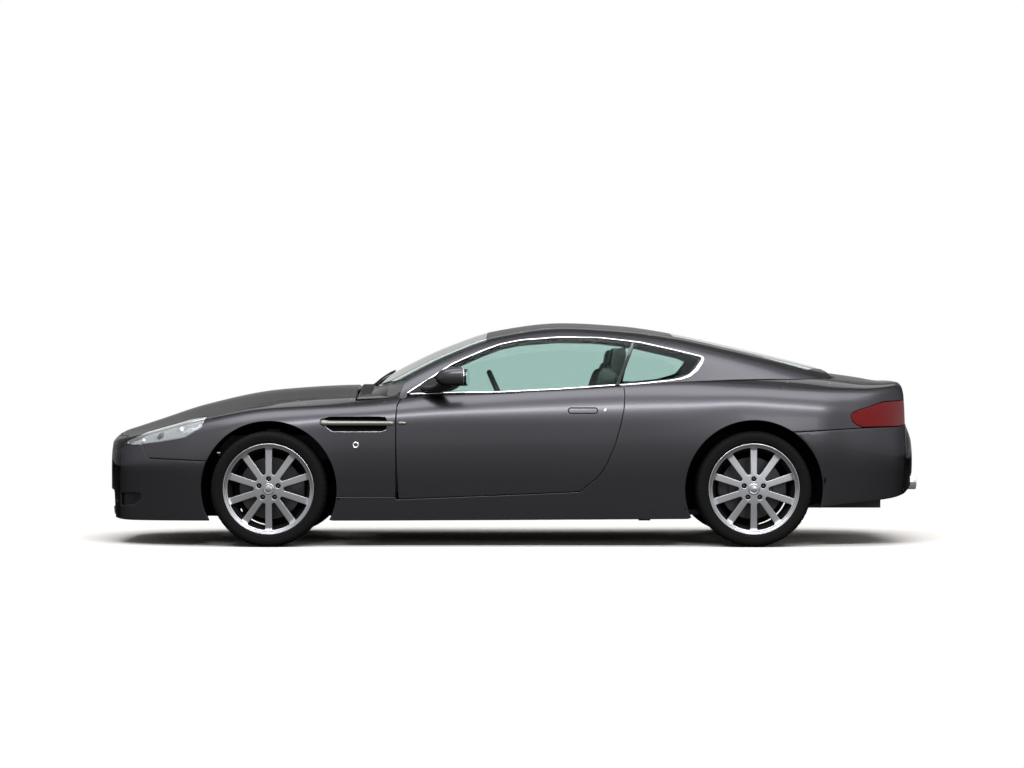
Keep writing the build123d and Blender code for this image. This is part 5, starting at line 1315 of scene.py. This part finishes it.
for axle, x, y, half_rim, half_tyre in (("front", FRONT_X, 0.784, 0.108, 0.1175),
                                        ("rear", REAR_X, 0.778, 0.127, 0.1375)):
    riders = ("wheel_%s_left" % axle, "wheel_%s_right" % axle)
    face_y = y + half_rim - 0.0225
    dish = Dish(x, face_y, face_depth)
    holes = [window(math.pi / 2 + math.pi / SPOKES + 2 * math.pi / SPOKES * k) for k in range(SPOKES)]
    bolts = [(0.057 * math.cos(math.pi / 2 + 2 * math.pi / 5 * k),
              0.057 * math.sin(math.pi / 2 + 2 * math.pi / 5 * k))
             for k in range(5)]
    holes += [circle(a, b, 0.0135, 20) for a, b in bolts]
    face = pair(shell("rim_face_%s_left" % axle, dish, [circle(0, 0, 0.2435, 120)] + holes, 0.026, [ALLOY],
                      roll=0.0035,
                      pitch=0.011, edge_pitch=0.007), riders)
    lip = [(0.2580, half_rim - 0.007), (0.2582, half_rim - 0.003), (0.2565, half_rim - 0.0006),
           (0.2525, half_rim - 0.0004),
           (0.2495, half_rim - 0.003), (0.2475, half_rim - 0.009), (0.2440, half_rim - 0.014),
           (0.2385, half_rim - 0.020),
           (0.2350, half_rim - 0.028), (0.2345, half_rim - 0.046), (0.2410, half_rim - 0.046),
           (0.2412, half_rim - 0.010),
           (0.2480, half_rim - 0.0085)]
    pair(ring_turned("rim_lip_%s_left" % axle, (x, y, AXLE_Z), (0, 1, 0), lip, [ALLOY], 128), riders)
    deep = -half_rim
    # the barrel wears near-black painted shade rather than alloy
    barrel = [(0.2410, half_rim - 0.040), (0.2345, half_rim - 0.046), (0.2150, half_rim - 0.060),
              (0.2130, 0.0),
              (0.2130, deep + 0.046), (0.2320, deep + 0.030), (0.2320, deep), (0.2575, deep),
              (0.2575, deep + 0.008),
              (0.2410, deep + 0.008), (0.2410, deep + 0.032), (0.2220, deep + 0.048),
              (0.2220, half_rim - 0.052)]
    pair(ring_turned("rim_barrel_%s_left" % axle, (x, y, AXLE_Z), (0, 1, 0), barrel, [RIM_INSIDE_SHADE], 96),
         riders)
    cap = [(0.0001, 0.0105), (0.014, 0.0100), (0.020, 0.0085), (0.0225, 0.0075), (0.0240, 0.0088),
           (0.0300, 0.0078),
           (0.0325, 0.0052), (0.0330, -0.004), (0.0001, -0.004)]
    pair(turned("centre_cap_%s_left" % axle, (x, face_y, AXLE_Z), (0, 1, 0), cap, [ALLOY], 48), riders)
    # a disc behind the hub, in near-black painted shade
    bell = [(0.0001, -0.027), (0.074, -0.027), (0.074, -0.052), (0.0001, -0.052)]
    pair(turned("hub_back_%s_left" % axle, (x, face_y, AXLE_Z), (0, 1, 0), bell, [RIM_INSIDE_SHADE], 48), riders)
    grids = []
    for a, b in bolts:
        nut = np.array([(0.0001, -0.0060), (0.0050, -0.0060), (0.0078, -0.0072), (0.0095, -0.0110),
                        (0.0095, -0.0270),
                        (0.0001, -0.0270)])
        turn = np.radians(np.arange(6) * 60)
        ring = np.stack([np.cos(turn), np.zeros(6), np.sin(turn)], axis=-1)
        reach = nut[:, :1, None] * ring + nut[:, 1:, None] * np.array([0, 1, 0])
        grids.append(np.array([x + a, face_y, AXLE_Z + b]) + reach)
    left_nuts = [grid_piece("nut", grid, [DARK_METAL]) for grid in grids]
    merged = joined("wheel_bolts_%s_left" % axle, left_nuts)
    pair(merged, riders)
    valve = [(0.0001, 0.012), (0.0030, 0.0115), (0.0034, 0.002), (0.0030, -0.004), (0.0050, -0.010),
             (0.0001, -0.012)]
    angle = math.radians(-12)
    spot = (x - 0.2290 * math.cos(angle), face_y - 0.010, AXLE_Z + 0.2290 * math.sin(angle))
    pair(turned("valve_%s_left" % axle, spot, (0.3, 0.95, 0), valve, [BLACK], 16), riders)
    tyres = pair(tyre_piece("tyre_tread_%s_left" % axle, x, y, half_tyre, half_rim - 0.009), riders)
    for hand, piece, rubber in zip(("left", "right"), face, tyres):
        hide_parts("rim_%s_%s" % (axle, hand))
        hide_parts("tyre_%s_%s" % (axle, hand))

# liners over the front wheels, under the wings
turns = np.linspace(arch_start - 1, 188, 72)
edge = LOWER.point(side(arc(*FRONT_ARCH[:2], 389, arch_start - 1, 188, 72)))[:, 1] - 0.004
across = np.linspace(0, 1, 14)
under_y = edge[:, None] + (0.452 - edge[:, None]) * across
lining = np.concatenate([np.full((72, 14), 0.3885), np.full((72, 14), 0.3930)], axis=1)
under_y = np.concatenate([under_y, under_y[:, ::-1]], axis=1)
over_x = FRONT_X + lining * np.cos(np.radians(turns))[:, None]
over_z = AXLE_Z + lining * np.sin(np.radians(turns))[:, None]
pair(grid_piece("wheel_liner_front_left", np.stack([over_x, under_y, over_z], axis=-1), [LINER]), BODY)

# dust shields behind the discs, in the rim's near-black painted shade
SHIELD = [(0.0001, 0.002), (0.190, 0.002), (0.206, 0.010), (0.2085, 0.010), (0.2085, 0.007), (0.192, -0.001),
          (0.0001, -0.001)]
for axle, x, y, riders in (("front", FRONT_X, 0.690, ("knuckle_left", "knuckle_right")),
                           ("rear", REAR_X, 0.668, BODY)):
    pair(turned("dust_shield_%s_left" % axle, (x, y, AXLE_Z), (0, 1, 0), SHIELD, [RIM_INSIDE_SHADE], 64), riders)

# calipers over the discs: on the knuckles in front, on the body behind
for axle, x, y, start, end, riders in (("front", FRONT_X, 0.716, 150, 205, ("knuckle_left", "knuckle_right")),
                                       ("rear", REAR_X, 0.706, -25, 25, BODY)):
    turns = np.radians(np.linspace(start, end, 16))
    share = np.abs(np.linspace(-1, 1, 16))
    grow_in = 1 - 0.25 * share ** 4
    section = rounded(np.array([(0.130, -0.034), (0.1975, -0.034), (0.1975, 0.034), (0.130, 0.034)]), 0.010,
                      steps=4)
    r = 0.164 + (section[None, :, 0] - 0.164) * grow_in[:, None]
    grid = np.stack([x + r * np.cos(turns)[:, None],
                     np.broadcast_to(y + section[None, :, 1] * grow_in[:, None], r.shape),
                     AXLE_Z + r * np.sin(turns)[:, None]], axis=-1)
    pair(grid_piece("caliper_%s_left" % axle, grid, [DARK_METAL]), riders)

# ------------------------------------------------------------------ door mirrors
t = np.concatenate([[0.0, 0.004, 0.02], np.linspace(0.06, 0.9, 14), [0.95, 0.98, 0.995, 1.0]])
size = np.where(t < 0.03, 0.94 + 2 * t, np.maximum(1 - t ** 3.0, 0) ** (1 / 2.3))
size[-1] = 0.02
turns = np.linspace(0, 2 * np.pi, 48, endpoint=False)
power = lambda c: np.sign(c) * np.abs(c) ** 0.72
pod_x = 0.276 + 0.146 * t
pod_z = 0.9635 - 0.010 * t ** 2
pod = np.stack([
    np.broadcast_to(pod_x[:, None], (len(t), 48)) - 0.012 * (1 - t[:, None]) * np.cos(turns),
    0.943 + 0.0755 * size[:, None] * power(np.cos(turns)) - 0.018 * t[:, None] ** 2,
    pod_z[:, None] + 0.0545 * size[:, None] * power(np.sin(turns)),
], axis=-1)
pods = pair(grid_piece("mirror_pod_left", pod, [PAINT]), DOORS)
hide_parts("mirror_left")
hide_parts("mirror_right")
share = np.linspace(0, 1, 12)[:, None]
arm_centre = np.array([0.372, 0.905, 0.912]) * (1 - share) + np.array([0.452, 0.768, 0.896]) * share
arm_centre[:, 2] -= 0.010 * np.sin(np.pi * share[:, 0])
arm_wide = 0.046 + 0.016 * share
arm_tall = 0.017 + 0.003 * share
arm = arm_centre[:,
                 None] + np.stack([arm_wide * power(np.cos(turns)), 0 * turns * share,
                                   arm_tall * power(np.sin(turns))], axis=-1)
pair(grid_piece("mirror_arm_left", arm, [BLACK]), DOORS)


class Flat:
    """A plane over (a, b) from a point and two directions, with its own normal."""

    def __init__(self, origin, along_a, along_b):
        self.origin, self.a, self.b = (np.asarray(v, float) for v in (origin, along_a, along_b))
        self.n = np.cross(self.a, self.b)

    def point(self, ab):
        return self.origin + ab[:, :1] * self.a + ab[:, 1:] * self.b

    def normal(self, ab):
        return np.broadcast_to(self.n / np.linalg.norm(self.n), (len(ab), 3)).copy()


mirror_plane = Flat((0.2748, 0.944, 0.9635), (-0.159, 0.987, 0), (0, 0, 1))
glass_edge = np.column_stack([0.066 * power(np.cos(turns)), 0.046 * power(np.sin(turns))])
both(shell, "mirror_glass", DOORS, mirror_plane, [glass_edge], materials=[CHROME], thick=0.003, roll=0.001,
     pitch=0.02)

# ------------------------------------------------------------------ seats
def cushion(name, centre, size, lean, channels, crown, body="body"):
    """A stuffed form: a rounded box (width, depth, height) that swells between its corners.

    lean tips it back about the cross axis, in degrees; channels run up it, as shallow rounded furrows.
    """
    v = np.radians(np.linspace(-90, 90, 34))
    u = np.linspace(0, 2 * np.pi, 72, endpoint=False)
    e = 0.34
    p = lambda c: np.sign(c) * np.abs(c) ** e
    ring = np.maximum(np.cos(v), 1e-3) ** e
    w = ring[:, None] * p(np.cos(u))
    d = ring[:, None] * p(np.sin(u))
    h = np.broadcast_to((np.sign(v) * np.abs(np.sin(v)) ** e)[:, None], w.shape)
    swell = crown * (1 - np.clip(np.abs(w), 0, 1) ** 2) * (1 - np.clip(np.abs(h), 0, 1) ** 2)
    y = w * size[0] / 2
    x = d * size[1] / 2 + np.where(d > 0, swell, 0.3 * -swell)
    z = h * size[2] / 2
    if channels:
        inner = (np.abs(w) < 0.62) & (np.abs(h) < 0.88)
        furrow = 0.5 - 0.5 * np.cos(w / 0.62 * np.pi * channels)
        x = x - np.where(d > 0, 0.009 * (1 - furrow) ** 3 * inner, 0)
    a = math.radians(lean)
    x, z = x * math.cos(a) - z * math.sin(a), x * math.sin(a) + z * math.cos(a)
    grid = np.stack([centre[0] + x, centre[1] + y, centre[2] + z], axis=-1)
    piece = grid_piece(name, grid, [LEATHER])
    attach(piece, body)
    return piece


for hand, side_of in (("left", 1), ("right", -1)):
    mid = side_of * 0.3875
    # front: cushion and back, each between two bolsters, and head restraint
    cushion("front_seat_cushion_" + hand, (-0.175, mid, 0.400), (0.300, 0.150, 0.430), -84, 5, 0.010)
    for edge, place in (("inner", -0.188), ("outer", 0.188)):
        label = "%s_%s" % (edge, hand)
        cushion("front_seat_bolster_" + label, (-0.175, mid + side_of * place, 0.415), (0.085, 0.150, 0.430),
                -84, 0, 0.008)
        cushion("front_back_bolster_" + label, (-0.512, mid + side_of * place, 0.735), (0.085, 0.130, 0.560),
                12, 0, 0.008)
    cushion("front_seat_back_" + hand, (-0.530, mid, 0.750), (0.310, 0.100, 0.610), 12, 5, 0.012)
    cushion("front_head_restraint_" + hand, (-0.615, mid, 1.062), (0.250, 0.085, 0.130), 10, 0, 0.008)
    rear_mid = side_of * 0.342
    cushion("rear_seat_cushion_" + hand, (-0.930, rear_mid, 0.385), (0.360, 0.110, 0.300), -80, 4, 0.010)
    cushion("rear_seat_back_" + hand, (-1.135, rear_mid, 0.645), (0.360, 0.090, 0.470), 10, 4, 0.010)


# ------------------------------------------------------------------ stage, light and camera
def stage_piece(name, verts, faces, mat):
    obj = mesh_object(name, verts, faces, materials=[mat])
    return obj


FLOOR_MAT = material("studio_floor", (0.80, 0.78, 0.765), 0.0, 0.9, Specular_IOR_Level=0.0)
floor_tree = FLOOR_MAT.node_tree
# to the camera the floor is pale, to every other ray dark grey: a painted dark reflection in the car's lower
# sides, and less bounce light
seen = floor_tree.nodes.new("ShaderNodeLightPath")
tone = floor_tree.nodes.new("ShaderNodeMix")
tone.data_type = "RGBA"
tone.inputs["A"].default_value = (0.13, 0.125, 0.12, 1)
tone.inputs["B"].default_value = (0.80, 0.775, 0.755, 1)
floor_tree.links.new(seen.outputs["Is Camera Ray"], tone.inputs["Factor"])
floor_tree.links.new(tone.outputs["Result"], floor_tree.nodes["Principled BSDF"].inputs["Base Color"])
floor_place = floor_tree.nodes.new("ShaderNodeTexCoord")
floor_scale = floor_tree.nodes.new("ShaderNodeMapping")
floor_scale.inputs["Scale"].default_value = (1 / 4.6, 1 / 2.9, 1)
reach = floor_tree.nodes.new("ShaderNodeVectorMath")
reach.operation = "LENGTH"
fade = floor_tree.nodes.new("ShaderNodeMapRange")
fade.interpolation_type = "SMOOTHSTEP"
fade.inputs["From Min"].default_value = 0.62
fade.inputs["From Max"].default_value = 1.0
fade.inputs["To Min"].default_value = 1.0
fade.inputs["To Max"].default_value = 0.0
floor_tree.links.new(floor_place.outputs["Object"], floor_scale.inputs["Vector"])
floor_tree.links.new(floor_scale.outputs["Vector"], reach.inputs[0])
floor_tree.links.new(reach.outputs["Value"], fade.inputs["Value"])
solid = floor_tree.nodes.new("ShaderNodeMath")
solid.operation = "SUBTRACT"
solid.inputs[0].default_value = 1.0
either = floor_tree.nodes.new("ShaderNodeMath")
either.operation = "MAXIMUM"
floor_tree.links.new(seen.outputs["Is Camera Ray"], solid.inputs[1])
floor_tree.links.new(solid.outputs["Value"], either.inputs[0])
floor_tree.links.new(fade.outputs["Result"], either.inputs[1])
floor_tree.links.new(either.outputs["Value"], floor_tree.nodes["Principled BSDF"].inputs["Alpha"])
t = np.linspace(-1, 1, 41)
gx, gy = np.meshgrid(t * 30, t * 30, indexing="ij")
floor_verts = np.column_stack([gx.ravel(), gy.ravel(), np.full(gx.size, 0.0)])
cell = np.arange(41 * 41).reshape(41, 41)
floor_faces = np.column_stack([cell[:-1, :-1].ravel(), cell[1:, :-1].ravel(), cell[1:, 1:].ravel(),
                               cell[:-1, 1:].ravel()])
stage_piece("studio_floor", floor_verts, floor_faces, FLOOR_MAT)

world = bpy.data.worlds.new("studio")
bpy.context.scene.world = world
world.use_nodes = True
tree = world.node_tree
tree.nodes.clear()
out = tree.nodes.new("ShaderNodeOutputWorld")
mix = tree.nodes.new("ShaderNodeMixShader")
soft = tree.nodes.new("ShaderNodeBackground")
soft.inputs["Color"].default_value = (1, 1, 1, 1)
soft.inputs["Strength"].default_value = 0.30
white = tree.nodes.new("ShaderNodeBackground")
white.inputs["Color"].default_value = (1, 1, 1, 1)
white.inputs["Strength"].default_value = 1.0
path = tree.nodes.new("ShaderNodeLightPath")
add1 = tree.nodes.new("ShaderNodeMath")
add1.operation = "MAXIMUM"
add2 = tree.nodes.new("ShaderNodeMath")
add2.operation = "MAXIMUM"
tree.links.new(path.outputs["Is Camera Ray"], add1.inputs[0])
tree.links.new(path.outputs["Is Glossy Ray"], add1.inputs[1])
tree.links.new(add1.outputs[0], add2.inputs[0])
tree.links.new(path.outputs["Is Transmission Ray"], add2.inputs[1])
tree.links.new(add2.outputs[0], mix.inputs["Fac"])
tree.links.new(soft.outputs[0], mix.inputs[1])
tree.links.new(white.outputs[0], mix.inputs[2])
tree.links.new(mix.outputs[0], out.inputs["Surface"])


def area_light(name, place, aim, size, size_y, power):
    data = bpy.data.lights.new(name, "AREA")
    data.shape = "RECTANGLE"
    data.size, data.size_y, data.energy = size, size_y, power
    obj = bpy.data.objects.new(name, data)
    obj.location = place
    obj.rotation_euler = (Vector(aim) - Vector(place)).to_track_quat("-Z", "Y").to_euler()
    bpy.context.scene.collection.objects.link(obj)
    return obj


area_light("overhead", (0, 0.5, 6.5), (0, 0, 0.6), 10, 4, 620)
area_light("shoulder", (-0.4, 5.6, 4.9), (0, 0.5, 0.7), 8.5, 1.1, 560)
area_light("low_side", (-3.5, 10.0, 2.6), (-0.6, 0, 0.6), 3.0, 1.6, 110)
area_light("far_side", (0.0, -7.0, 5.0), (0, 0, 0.6), 8, 2, 160)

FOCAL_SHARE = 2684 / 1024  # focal length as a share of the sensor's width
camera_data = bpy.data.cameras.new("camera")
camera_data.sensor_width = 36
camera_data.lens = FOCAL_SHARE * camera_data.sensor_width
camera_data.clip_end = 200
camera = bpy.data.objects.new("camera", camera_data)
camera.location = (-0.007, 16.03, 0.921)
camera.rotation_euler = (math.radians(90), 0, math.radians(180))
bpy.context.scene.collection.objects.link(camera)
bpy.context.scene.camera = camera
bpy.context.scene.view_settings.view_transform = "Standard"
